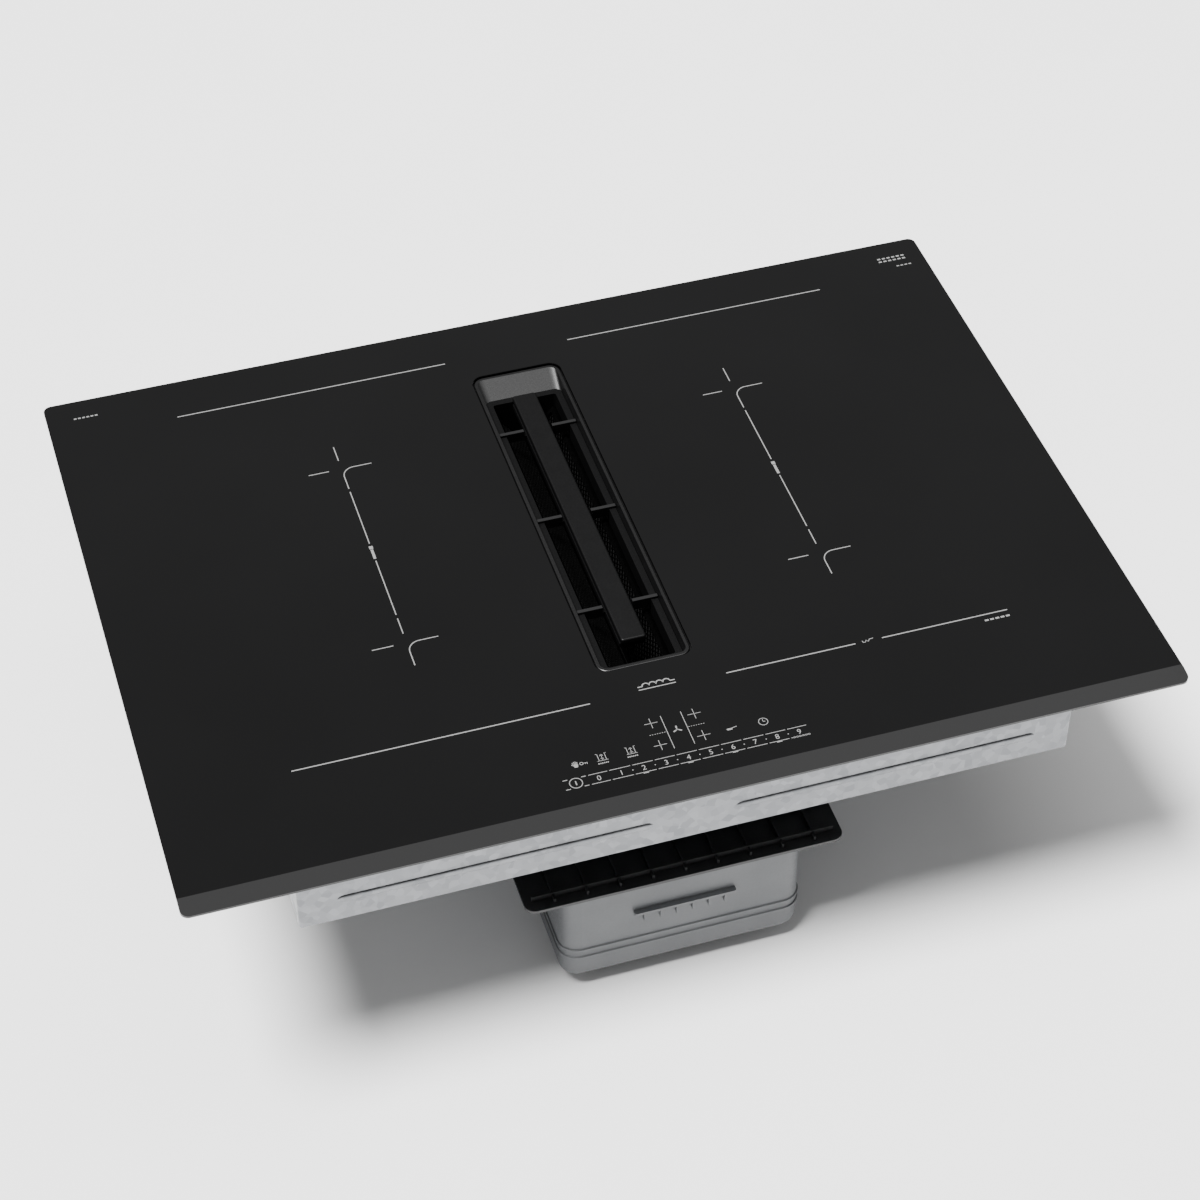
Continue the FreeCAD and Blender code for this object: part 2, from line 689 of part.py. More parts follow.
def mica_sheet():
    """The thin insulation sheet between both windings of one side and the glass."""
    both_coils = (COIL_BACK[0], COIL_BACK[1], COIL_FRONT[2], COIL_BACK[3])
    sheet = block(both_coils, Z_MICA, Z_GLASS_BOTTOM, 12.0)
    holes = []
    for rect in (COIL_BACK, COIL_FRONT):
        x = (rect[0] + rect[1]) / 2
        y = (rect[2] + rect[3]) / 2
        holes.append(cylinder(x, y, Z_MICA - 1, Z_GLASS_BOTTOM + 1, SENSOR_R + 2))
    return sheet.cut(holes)


def ferrite_bars():
    """Eight radial ferrite bars under each winding."""
    bars = []
    for rect in (COIL_BACK, COIL_FRONT):
        x = (rect[0] + rect[1]) / 2
        y = (rect[2] + rect[3]) / 2
        for i in range(8):
            start = COIL_EYE_W / 2
            bar = block((start, start + FERRITE_L, -FERRITE_W / 2, FERRITE_W / 2), Z_FERRITE, Z_FORMER)
            bar.rotate(Vector(0, 0, 0), UP, 22.5 + i * 45)
            bar.translate(Vector(x, y, 0))
            bars.append(bar)
    return bars


def temperature_sensors():
    """Sensor buttons pressed to the glass in the middle of each coil."""
    sensors = []
    for rect in (COIL_BACK, COIL_FRONT):
        x = (rect[0] + rect[1]) / 2
        y = (rect[2] + rect[3]) / 2
        sensors.append(cylinder(x, y, Z_WINDING, Z_WINDING + SENSOR_H + MICA_T, SENSOR_R))
    return sensors


def coil_carrier():
    """The aluminium sheet that carries both coils of one side."""
    plate = block(CARRIER, Z_CARRIER, Z_FERRITE, 6.0)
    holes = [cylinder(x, y, Z_CARRIER - 1, Z_FERRITE + 1, POST_BORE_R) for x, y in post_places()]
    holes.append(block(coil_eye(COIL_BACK), Z_CARRIER - 1, Z_FERRITE + 1, COIL_EYE_R))
    holes.append(block(coil_eye(COIL_FRONT), Z_CARRIER - 1, Z_FERRITE + 1, COIL_EYE_R))
    return plate.cut(holes)


def post_places():
    return corners_of(CARRIER, POST_INSET)


def carrier_posts():
    """The plastic posts that hold the carrier up from the tray floor."""
    return [washer(x, y, Z_TRAY_FLOOR, Z_CARRIER, POST_R, POST_BORE_R) for x, y in post_places()]


# ---- Electronics ----
def standoff_places():
    return corners_of(BOARD, 6.0)


def power_board():
    """Inverter board with its soldered parts: capacitors, choke, relays and connectors."""
    plate = block(BOARD, Z_BOARD, Z_BOARD_TOP, 2.0)
    holes = [cylinder(x, y, Z_BOARD - 1, Z_BOARD_TOP + 1, SCREW_R) for x, y in standoff_places()]
    parts = [plate.cut(holes)]
    x0, x1, y0, y1 = BOARD
    parts_top = Z_BOARD_TOP + PARTS_H
    sink_back = y0 + 14.0 + HEATSINK_L
    for i in range(4):
        choke = centred(x0 + 30 + i * 42, sink_back + 28, 30, 16)
        parts.append(block(choke, Z_BOARD_TOP, parts_top - 3, 2.0))
    for i in range(3):
        parts.append(cylinder(x0 + 32 + i * 34, sink_back + 66, Z_BOARD_TOP, parts_top, 11.0))
    parts.append(washer(x1 - 34, sink_back + 68, Z_BOARD_TOP, parts_top - 7, 19.0, 8.0))
    for i in range(3):
        parts.append(block(centred(x0 + 34 + i * 48, y1 - 22, 28, 14), Z_BOARD_TOP, parts_top - 9, 1.0))
    parts.append(block(centred(x0 + 22, y0 + 7, 26, 8), Z_BOARD_TOP, Z_BOARD_TOP + 9))
    return join(parts)


def heatsink():
    """Extruded aluminium fins over the power transistors, in line with the blower."""
    x = (BOARD[0] + BOARD[1]) / 2
    y0 = BOARD[2] + 14.0
    base = centred(x, y0 + HEATSINK_L / 2, HEATSINK_W, HEATSINK_L)
    pieces = [block(base, Z_BOARD_TOP, Z_BOARD_TOP + HEATSINK_BASE)]
    pitch = (HEATSINK_W - FIN_T) / (FIN_COUNT - 1)
    for i in range(FIN_COUNT):
        fin_x = base[0] + i * pitch
        fin = (fin_x, fin_x + FIN_T, base[2], base[3])
        pieces.append(block(fin, Z_BOARD_TOP, Z_BOARD_TOP + HEATSINK_H))
    return join(pieces)


def board_standoffs():
    return [cylinder(x, y, Z_TRAY_FLOOR, Z_BOARD, 3.5).cut(
        cylinder(x, y, Z_TRAY_FLOOR + 1, Z_BOARD + 1, SCREW_R)) for x, y in standoff_places()]


def board_screws():
    length = BOARD_LIFT - 2.0 + BOARD_T
    return [screw(Vector(x, y, Z_BOARD_TOP - length), DOWN, length) for x, y in standoff_places()]


def blower_housing():
    """A flat radial blower's case: round inlet on top, outlet slot towards the heatsink."""
    z0 = Z_TRAY_FLOOR
    z1 = z0 + BLOWER_H
    case = block(BLOWER, z0, z1, 9.0)
    room = cylinder(BLOWER_X, BLOWER_Y, z0 + BLOWER_WALL, z1 - BLOWER_WALL, BLOWER_W / 2 - BLOWER_WALL)
    inlet = cylinder(BLOWER_X, BLOWER_Y, z1 - BLOWER_WALL - 1, z1 + 1, BLOWER_INLET_R)
    floor_top = z0 + BLOWER_WALL
    bottom_inlet = washer(BLOWER_X, BLOWER_Y, z0 - 1, floor_top + 1, BLOWER_INLET_R, BLOWER_INLET_R / 2)
    spokes = [
        block(centred(BLOWER_X, BLOWER_Y, BLOWER_W * 0.7, 4.0), z0, z0 + BLOWER_WALL),
        block(centred(BLOWER_X, BLOWER_Y, 4.0, BLOWER_W * 0.7), z0, z0 + BLOWER_WALL),
    ]
    outlet = block(
        (BLOWER_X - 4.0, BLOWER_X + BLOWER_W / 2 - BLOWER_WALL, BLOWER_Y, BLOWER[3] + 1),
        z0 + BLOWER_WALL,
        z1 - BLOWER_WALL,
    )
    case = case.cut([room, inlet, bottom_inlet, outlet])
    spindle = cylinder(BLOWER_X, BLOWER_Y, z0, z0 + BLOWER_H - 6.0, 2.0)
    return join([case, spindle] + spokes)


def blower_wheel():
    """The blower's wheel on its spindle: hub, base disc and straight blades."""
    z0 = Z_TRAY_FLOOR + BLOWER_WALL + BLOWER_WHEEL_ROOM
    hub = cylinder(0, 0, z0, z0 + BLOWER_WHEEL_H, 12.0)
    disc = cylinder(0, 0, z0, z0 + 1.2, BLOWER_WHEEL_R)
    pieces = [hub, disc]
    for i in range(BLOWER_BLADES):
        blade = block((17.0, BLOWER_WHEEL_R, -0.6, 0.6), z0, z0 + BLOWER_WHEEL_H)
        blade.rotate(Vector(17.0, 0, 0), UP, 25)
        blade.rotate(Vector(0, 0, 0), UP, i * 360 / BLOWER_BLADES)
        pieces.append(blade)
    wheel = join(pieces)
    limit = washer(0, 0, z0 - 1, z0 + BLOWER_WHEEL_H + 1, BLOWER_WHEEL_R, 2.0 + SHAFT_CLEAR)
    wheel = wheel.common(limit)
    wheel.translate(Vector(BLOWER_X, BLOWER_Y, 0))
    return wheel


def control_holder():
    """The plastic cradle that presses the touch board to the glass."""
    z0 = Z_GLASS_BOTTOM - CONTROL_H
    cradle = block(CONTROL, z0, Z_GLASS_BOTTOM, 3.0)
    room = block(grow(CONTROL, -CONTROL_WALL), z0 + CONTROL_WALL, Z_GLASS_BOTTOM + 1, 2.0)
    return cradle.cut(room)


def control_board():
    """The touch board with its row of lights and its processor."""
    gap = 0.5
    top = Z_GLASS_BOTTOM - 2.5
    plate = block(grow(CONTROL, -CONTROL_WALL - gap), top - BOARD_T, top, 2.0)
    parts = [plate]
    for i in range(10):
        parts.append(block(centred(-63.7 + i * 15.83, CONTROL[2] + 9.0, 5.0, 3.0), top, top + 1.2))
    parts.append(block(centred(0, CONTROL[3] - 16.0, 14.0, 14.0), top - BOARD_T - 2.0, top - BOARD_T))
    parts.append(block(centred(-62.0, CONTROL[3] - 10.0, 24.0, 7.0), top - BOARD_T - 6.0, top - BOARD_T))
    return join(parts)


def ribbon_cable():
    """The flat cable from the control cradle down to the left power board."""
    x0 = -BOARD[0] - 22 - RIBBON_W / 2
    x1 = x0 + RIBBON_W
    y_cradle = CONTROL[3]
    y_drop = y_cradle + 4.0
    y_board = BOARD_Y0 + 3.0
    z_low = Z_BOARD_TOP + 4.0
    half = RIBBON_T / 2
    z_exit = Z_GLASS_BOTTOM - CONTROL_H + 4.0
    pieces = [
        block((x0, x1, y_cradle, y_drop), z_exit - half, z_exit + half),
        block((x0, x1, y_drop - RIBBON_T, y_drop), z_low - half, z_exit + half),
        block((x0, x1, y_drop - RIBBON_T, y_board), z_low - half, z_low + half),
    ]
    return join(pieces)


def mains_filter_board():
    """The mains input filter: board, common-mode choke, capacitors and fuse."""
    x0 = CONTROL[1] + 12.0
    y0 = TRAY[2] + SHEET + 10.0
    rect = (x0, x0 + MAINS_BOARD_W, y0, y0 + MAINS_BOARD_D)
    parts = [block(rect, Z_BOARD, Z_BOARD_TOP, 2.0)]
    parts_top = Z_BOARD_TOP + PARTS_H
    parts.append(washer(x0 + 26, y0 + 30, Z_BOARD_TOP, parts_top - 5, 18.0, 8.0))
    for i in range(2):
        parts.append(block(centred(x0 + 62 + i * 22, y0 + 32, 14, 32), Z_BOARD_TOP, parts_top - 3, 1.0))
    parts.append(cylinder_along(BACKWARDS, Vector(x0 + 112, y0 + 14, Z_BOARD_TOP + 4), 30, 4.5))
    for x, y in corners_of(rect, 6.0):
        parts.append(cylinder(x, y, Z_TRAY_FLOOR, Z_BOARD, 3.5))
    return join(parts)


# ---- Mains terminals ----
def terminal_block():
    """The five-pole screw terminal under the tray."""
    body = block(centred(TERMINAL_X - 6, TERMINAL_Y, 44.0, 58.0), Z_TRAY_BOTTOM - 20, Z_TRAY_BOTTOM, 1.5)
    pitch = 58.0 / TERMINAL_POLES
    cuts = []
    for i in range(TERMINAL_POLES):
        y = TERMINAL_Y - 29.0 + (i + 0.5) * pitch
        for x in (TERMINAL_X - 18, TERMINAL_X + 6):
            cuts.append(cylinder(x, y, Z_TRAY_BOTTOM - 21, Z_TRAY_BOTTOM - 12, 3.2))
    return body.cut(cuts)


def gland_axis_z():
    return Z_TRAY_BOTTOM - TERMINAL_H / 2


def terminal_cover():
    """The plastic box over the terminals, with ears for its screws and a hole for the cable gland."""
    z0 = Z_TRAY_BOTTOM - TERMINAL_H
    box = block(TERMINAL, z0, Z_TRAY_BOTTOM, 4.0)
    room = block(grow(TERMINAL, -TERMINAL_WALL), z0 + TERMINAL_WALL, Z_TRAY_BOTTOM + 1, 3.0)
    ears = []
    for tip in terminal_screw_places():
        near = min(max(tip.x, TERMINAL[0] + 1), TERMINAL[1] - 1)
        x0, x1 = sorted((tip.x, near))
        ears.append(cylinder(tip.x, tip.y, Z_TRAY_BOTTOM - TERMINAL_WALL, Z_TRAY_BOTTOM, 4.0))
        ears.append(block((x0, x1, tip.y - 4, tip.y + 4), Z_TRAY_BOTTOM - TERMINAL_WALL, Z_TRAY_BOTTOM))
    cover = join([box] + ears).cut(room)
    hole = cylinder_along(RIGHT, Vector(TERMINAL[1] - 5, TERMINAL_Y, gland_axis_z()), 10, GLAND_R - 2.0)
    cover = cover.cut(hole)
    return screw_holes(cover, terminal_screw_places(), UP, TERMINAL_SCREW_L)


def cable_gland():
    """The screwed bushing that the mains cable would enter by."""
    z = gland_axis_z()
    x = TERMINAL[1]
    thread = cylinder_along(RIGHT, Vector(x - 8, TERMINAL_Y, z), 8, GLAND_R - 2.0)
    nut = cylinder_along(RIGHT, Vector(x, TERMINAL_Y, z), GLAND_L - 6, GLAND_R)
    lip = cylinder_along(RIGHT, Vector(x + GLAND_L - 6, TERMINAL_Y, z), 6, GLAND_R - 2.5)
    bore = cylinder_along(RIGHT, Vector(x - 9, TERMINAL_Y, z), GLAND_L + 12, GLAND_BORE_R)
    return join([thread, nut, lip]).cut(bore)


# ---- Air shaft and extractor housing ----
def air_shaft():
    """The duct through the induction tray, with lugs for the drip tray and the roof of the plenum."""
    top = Z_GLASS_TOP - SHAFT_TOP_DROP
    outer_r = VENT_CORNER_R - COLLAR_GAP + SHAFT_FIT
    lug_top = Z_DRIP_TOP - DRIP_RIM_H - TANK_GAP
    bottom = min(Z_ROOF_BOTTOM, lug_top - DRIP_LUG_T)
    duct = block(SHAFT_OUT, bottom, top, outer_r + SHAFT_WALL)
    roof = block(ROOF, Z_ROOF_BOTTOM, Z_TRAY_BOTTOM, DECK_CORNER_R)
    body = duct.fuse(roof).cut(block(SHAFT_IN, bottom - 1, top + 1, outer_r))
    lugs = []
    span = SHAFT_IN[3] - SHAFT_IN[2]
    for share in (0.12, 0.5, 0.82):
        y = SHAFT_IN[2] + share * span
        for side in (-1, 1):
            x0, x1 = sorted((side * (DRIP[1] + DRIP_GAP), side * (SHAFT_IN[1] + 1)))
            lug = (x0, x1, y - DRIP_LUG_L / 2, y + DRIP_LUG_L / 2)
            lugs.append(block(lug, lug_top - DRIP_LUG_T, lug_top))
    shaft = join([body] + lugs)
    return screw_holes(shaft, module_screw_places(), UP, MODULE_SCREW_L)


def latch_places():
    """The latch's place along the tank: the middle of its sides."""
    return (TANK[2] + TANK[3]) / 2


def deck_screw_places():
    """Screws up from the lower housing's bosses into the deck."""
    places = []
    for angle in (120, 165, 210, 255, 300, 345):
        x, y = scroll_point(angle, BOSS_R)
        places.append(Vector(x, y, Z_DECK_TOP))
    return places


DECK_SCREW_L = DECK_T + BOSS_H - SCREW_HEAD_H


def plenum_wall():
    """The frame of walls between the deck and the shaft's roof, with a flange for the module screws."""
    inside = grow(PLENUM, -MODULE_WALL)
    walls = ring(PLENUM, inside, Z_DECK_TOP, Z_ROOF_BOTTOM, 6.0, 4.0)
    flange = ring(ROOF, inside, Z_ROOF_BOTTOM - MODULE_WALL, Z_ROOF_BOTTOM, DECK_CORNER_R, 4.0)
    return screw_holes(join([walls, flange]), module_screw_places(), UP, MODULE_SCREW_L)


def fan_deck():
    """The deck over the fan: inlet nozzle, drain spout to the tank and lugs for the latches."""
    deck = block(DECK, Z_DECK_BOTTOM, Z_DECK_TOP, DECK_CORNER_R)
    nozzle_top = Z_DECK_TOP + NOZZLE_UP
    nozzle_low = Z_DECK_BOTTOM - NOZZLE_DOWN
    nozzle = cylinder(FAN_X, FAN_Y, nozzle_low, nozzle_top, NOZZLE_R + NOZZLE_WALL)
    spout = block(grow(DRAIN, TANK_WALL), Z_DECK_BOTTOM - DRAIN_SPOUT, Z_DECK_BOTTOM, 6.0)
    pieces = [deck, nozzle, spout]
    pin_x = TANK[1] + LATCH_PIN_OUT
    pin_z = Z_DECK_BOTTOM - LATCH_PIN_DROP
    y_mid = latch_places()
    lug_inner = LATCH_W / 2 + LUG_GAP
    for side in (-1, 1):
        for y0 in (y_mid - lug_inner - LUG_T, y_mid + lug_inner):
            x0, x1 = sorted((side * (pin_x - 4), side * (pin_x + 4)))
            pieces.append(block((x0, x1, y0, y0 + LUG_T), pin_z - 4, Z_DECK_BOTTOM))
    cuts = [
        cylinder(FAN_X, FAN_Y, nozzle_low - 1, nozzle_top + 1, NOZZLE_R),
        block(DRAIN, Z_DECK_BOTTOM - DRAIN_SPOUT - 1, Z_DECK_TOP + 1, 4.0),
    ]
    for side in (-1, 1):
        start = Vector(side * pin_x, y_mid - lug_inner - LUG_T - 1, pin_z)
        cuts.append(cylinder_along(BACKWARDS, start, 2 * (lug_inner + LUG_T) + 2, LATCH_PIN_R))
    return screw_holes(join(pieces).cut(cuts), deck_screw_places(), UP, DECK_SCREW_L)


def scroll_centres(wall=0.0):
    """Centres and radii of the scroll's three quarter turns, each larger and tangent to the last."""
    first = Vector(FAN_X, FAN_Y, 0)
    second = first + Vector(SCROLL_RADII[1] - SCROLL_RADII[0], 0, 0)
    third = second + Vector(0, SCROLL_RADII[2] - SCROLL_RADII[1], 0)
    return [(centre, radius + wall) for centre, radius in zip((first, second, third), SCROLL_RADII)]


def scroll_point(angle, out):
    """A point outside the scroll's wall at an angle from 90 to 360 degrees."""
    quarter = min(int((angle - 90) // 90), 2)
    centre, radius = scroll_centres(MODULE_WALL)[quarter]
    turn = math.radians(angle)
    reach = radius + out - 1.5
    return centre.x + reach * math.cos(turn), centre.y + reach * math.sin(turn)


def scroll_solid(z0, z1, wall):
    """The fan's spiral: three growing quarter turns, closed by an arc at the tongue."""
    arcs = []
    for i, (centre, radius) in enumerate(scroll_centres(wall)):
        points = []
        for turn in (0, 45, 90):
            angle = math.radians(90 + 90 * i + turn)
            points.append(centre + Vector(radius * math.cos(angle), radius * math.sin(angle), z0))
        arcs.append(Part.Arc(*points).toShape())
    start = arcs[0].Vertexes[0].Point
    end = arcs[2].Vertexes[-1].Point
    reach = (WHEEL_R + SCROLL_GAPS[0] + wall) / math.sqrt(2)
    tongue = Vector(FAN_X + reach, FAN_Y + reach, z0)
    arcs.append(Part.Arc(end, tongue, start).toShape())
    return Part.Face(Part.Wire(arcs)).extrude(Vector(0, 0, z1 - z0))


def diffuser_solid(z0, z1, wall):
    """The channel from the scroll's mouth that widens to the outlet port."""
    third, radius = scroll_centres()[2]
    right = third.x + radius
    port_half = PORT_W / 2 - PORT_WALL
    back = ROOF[3] - MODULE_WALL
    tongue_x = FAN_X + (WHEEL_R + SCROLL_GAPS[0]) / math.sqrt(2)
    scroll_back = FAN_Y + WHEEL_R + SCROLL_GAPS[0]
    outline = (
        (tongue_x, third.y),
        (right, third.y),
        (right, scroll_back + 11.0),
        (port_half, back - 22.0),
        (port_half, back),
        (-port_half, back),
        (-port_half, back - 22.0),
        (tongue_x, scroll_back + 6.0),
    )
    corners = [Vector(x, y, z0) for x, y in outline]
    face = Part.Face(Part.makePolygon(corners + corners[:1]))
    if wall > 0:
        face = face.makeOffset2D(wall, join=2)
    return face.extrude(Vector(0, 0, z1 - z0))


def port_middle_z():
    return (Z_BOTTOM + Z_DECK_BOTTOM) / 2


def port_screw_places():
    """Screws through the outlet port's flange into the housing's back wall."""
    tips = []
    for x in (-PORT_W / 2 - 1, -PORT_W / 6, PORT_W / 6, PORT_W / 2 + 1):
        for z in (-1, 1):
            if abs(x) > PORT_W / 2:
                continue
            tips.append(Vector(x, ROOF[3] - MODULE_WALL - 2, port_middle_z() + z * (PORT_H / 2 + 3.0)))
    return tips


PORT_SCREW_L = MODULE_WALL + 2 + PORT_WALL


def motor_screw_places():
    tips = []
    for i in range(3):
        angle = math.radians(90 + i * 120)
        x = FAN_X + MOTOR_SCREW_PCD / 2 * math.cos(angle)
        y = FAN_Y + MOTOR_SCREW_PCD / 2 * math.sin(angle)
        tips.append(Vector(x, y, Z_FLOOR + MOTOR_PLATE_T))
    return tips


MOTOR_SCREW_L = MOTOR_PLATE_T + MODULE_WALL - SCREW_HEAD_H


def fan_scroll():
    """The fan's scroll case: floor, spiral wall, widening outlet and bosses for the deck screws."""
    outer = scroll_solid(Z_BOTTOM, Z_DECK_BOTTOM, MODULE_WALL).fuse(
        diffuser_solid(Z_BOTTOM, Z_DECK_BOTTOM, MODULE_WALL)
    )
    inner_scroll = scroll_solid(Z_FLOOR, Z_DECK_BOTTOM + 1, 0.0)
    inner = inner_scroll.fuse(diffuser_solid(Z_FLOOR, Z_DECK_BOTTOM + 1, 0.0))
    bosses = []
    for tip in deck_screw_places():
        boss_bottom = Z_DECK_BOTTOM - BOSS_H + SCREW_HEAD_H + 2
        bosses.append(cylinder(tip.x, tip.y, boss_bottom, Z_DECK_BOTTOM, BOSS_R))
    half_w = PORT_W / 2 - PORT_WALL
    half_h = PORT_H / 2 - PORT_WALL
    middle = port_middle_z()
    back = ROOF[3]
    window = block((-half_w, half_w, back - MODULE_WALL - 1, back + 1), middle - half_h, middle + half_h)
    shell = outer.fuse(bosses).cut(inner).cut(window)
    shell = screw_holes(shell, deck_screw_places(), UP, DECK_SCREW_L)
    shell = screw_holes(shell, port_screw_places(), FORWARDS, PORT_SCREW_L)
    shell = screw_holes(shell, motor_screw_places(), UP, MOTOR_SCREW_L)
    heads = [
        cylinder(tip.x, tip.y, Z_BOTTOM - 1, Z_BOTTOM + SCREW_HEAD_H, SCREW_HEAD_R)
        for tip in motor_screw_places()
    ]
    return shell.cut(heads).removeSplitter()


def outlet_port():
    """The flat-duct spigot at the back, with a flange screwed to the fan housing."""
    back = ROOF[3]
    middle = port_middle_z()
    half_w = PORT_W / 2
    half_h = PORT_H / 2
    flange = block(
        (-half_w, half_w, back, back + PORT_WALL),
        middle - half_h - PORT_FLANGE_W,
        middle + half_h + PORT_FLANGE_W,
    )
    tube = block((-half_w, half_w, back, back + PORT_WALL + PORT_L), middle - half_h, middle + half_h)
    inside = block(
        (-half_w + PORT_WALL, half_w - PORT_WALL, back - 1, back + PORT_WALL + PORT_L + 1),
        middle - half_h + PORT_WALL,
        middle + half_h - PORT_WALL,
    )
    port = join([flange, tube]).cut(inside)
    return screw_holes(port, port_screw_places(), FORWARDS, PORT_SCREW_L)


# ---- Extractor fan ----
def fan_impeller():
    """The wheel: base plate, forward-curved blades, top ring and a hub that grips the rotor."""
    z0 = Z_WHEEL_BOTTOM
    z1 = Z_WHEEL_TOP
    pieces = [
        washer(0, 0, z0, z0 + WHEEL_PLATE_T, WHEEL_R, ROTOR_R),
        washer(0, 0, z0, z0 + ROTOR_H * 0.6, ROTOR_R + WHEEL_PLATE_T, ROTOR_R),
        washer(0, 0, z1 - WHEEL_PLATE_T, z1, WHEEL_R, WHEEL_EYE_R),
    ]
    inner_r = WHEEL_EYE_R + 1.0
    outer_r = WHEEL_R - 1.0
    middle_r = (inner_r + outer_r) / 2
    for i in range(BLADE_COUNT):
        base = i * 360 / BLADE_COUNT
        sides = []
        for shift in (0.0, BLADE_T_DEG):
            side = []
            for radius, turn in ((inner_r, 0.0), (middle_r, 0.3), (outer_r, 1.0)):
                angle = math.radians(base + shift + turn * BLADE_SWEEP_DEG)
                side.append(Vector(radius * math.cos(angle), radius * math.sin(angle), z0))
            sides.append(side)
        near, far = sides
        outline = Part.Wire([
            Part.Arc(*near).toShape(),
            Part.makeLine(near[2], far[2]),
            Part.Arc(far[2], far[1], far[0]).toShape(),
            Part.makeLine(far[0], near[0]),
        ])
        pieces.append(Part.Face(outline).extrude(Vector(0, 0, z1 - z0)))
    wheel = join(pieces)
    wheel.translate(Vector(FAN_X, FAN_Y, 0))
    return wheel


def rotor_top():
    return Z_WHEEL_BOTTOM + ROTOR_H


def motor_rotor():
    """The steel cup that turns round the stator."""
    z0 = Z_WHEEL_BOTTOM
    cup = cylinder(FAN_X, FAN_Y, z0, rotor_top(), ROTOR_R)
    room = cylinder(FAN_X, FAN_Y, z0 - 1, rotor_top() - ROTOR_WALL, ROTOR_R - ROTOR_WALL)
    bore = cylinder(FAN_X, FAN_Y, z0, rotor_top() + 1, SHAFT_R)
    return cup.cut([room, bore])


def motor_shaft():
    """The shaft pressed into the rotor cup, running in the mount's bearing tube."""
    return cylinder(FAN_X, FAN_Y, Z_FLOOR + MOTOR_PLATE_T, rotor_top() + 2, SHAFT_R)


def motor_mount():
    """The cast flange on the housing floor, with the bearing tube for the shaft."""
    tube_top = rotor_top() - ROTOR_WALL - 2
    plate = cylinder(FAN_X, FAN_Y, Z_FLOOR, Z_FLOOR + MOTOR_PLATE_T, MOTOR_PLATE_R)
    tube = cylinder(FAN_X, FAN_Y, Z_FLOOR, tube_top, BEARING_R)
    bore = cylinder(FAN_X, FAN_Y, Z_FLOOR + MOTOR_PLATE_T - 0.3, tube_top + 1, SHAFT_R + SHAFT_CLEAR)
    mount = join([plate, tube]).cut(bore)
    return screw_holes(mount, motor_screw_places(), UP, MOTOR_SCREW_L)


def motor_stator():
    """The wound core: a ring of teeth, each with its copper coil."""
    z1 = rotor_top() - ROTOR_WALL - 3
    z0 = z1 - STATOR_H
    pieces = [washer(0, 0, z0, z1, BEARING_R + 5, BEARING_R)]
    for i in range(STATOR_TEETH):
        tooth = block((BEARING_R + 3, STATOR_R, -2.0, 2.0), z0 + 3, z1 - 3)
        winding = block((BEARING_R + 7, STATOR_R - 3, -4.0, 4.0), z0, z1, 1.5)
        for piece in (tooth, winding):
            piece.rotate(Vector(0, 0, 0), UP, i * 360 / STATOR_TEETH)
            pieces.append(piece)
    stator = join(pieces)
    stator.translate(Vector(FAN_X, FAN_Y, 0))
    return stator


# ---- Overflow tank ----
def catch_outline(side):
    """The catch on the tank's side: sloped above, and sloped below where the latch's toe bears."""
    face = TANK[1]
    top = Z_TANK_TOP - CATCH_DROP + 2
    points = (
        (face - 1, top),
        (face, top),
        (face + CATCH_OUT, top - 2),
        (face + CATCH_OUT, top - 4),
        (face + 2.7, top - 8),
        (face - 1, top - 8),
    )
    return [(side * x, z) for x, z in points]


def overflow_tank():
    """The open tank at the front that catches what the drip tray can't hold."""
    z0 = Z_TANK_TOP - TANK_H
    body = block(TANK, z0, Z_TANK_TOP, TANK_CORNER_R)
    rim_corner = TANK_CORNER_R + TANK_RIM_W / 2
    rim = block(grow(TANK, TANK_RIM_W / 2), Z_TANK_TOP - TANK_RIM_T, Z_TANK_TOP, rim_corner)
    bottom = [e for e in body.Edges if max(v.Z for v in e.Vertexes) < z0 + 0.01]
    body = body.makeFillet(TANK_CORNER_R * 0.5, bottom)
    y_mid = latch_places()
    pieces = [body, rim]
    for side in (-1, 1):
        pieces.append(prism_along_y(catch_outline(side), y_mid - CATCH_W / 2, y_mid + CATCH_W / 2))
    inside = block(grow(TANK, -TANK_WALL), z0 + TANK_WALL, Z_TANK_TOP + 1, TANK_CORNER_R - TANK_WALL)
    floor_edges = [e for e in inside.Edges if max(v.Z for v in e.Vertexes) < z0 + TANK_WALL + 0.01]
    inside = inside.makeFillet(TANK_CORNER_R * 0.5 - TANK_WALL, floor_edges)
    return join(pieces).cut(inside)


def tank_gasket():
    """The rubber ring in the deck that the tank's rim closes against."""
    z1 = Z_DECK_BOTTOM
    outer_r = TANK_CORNER_R + TANK_RIM_W / 2
    outer = grow(TANK, TANK_RIM_W / 2)
    inner = grow(TANK, -TANK_WALL)
    return ring(outer, inner, z1 - GASKET_T, z1, outer_r, TANK_CORNER_R - TANK_WALL)


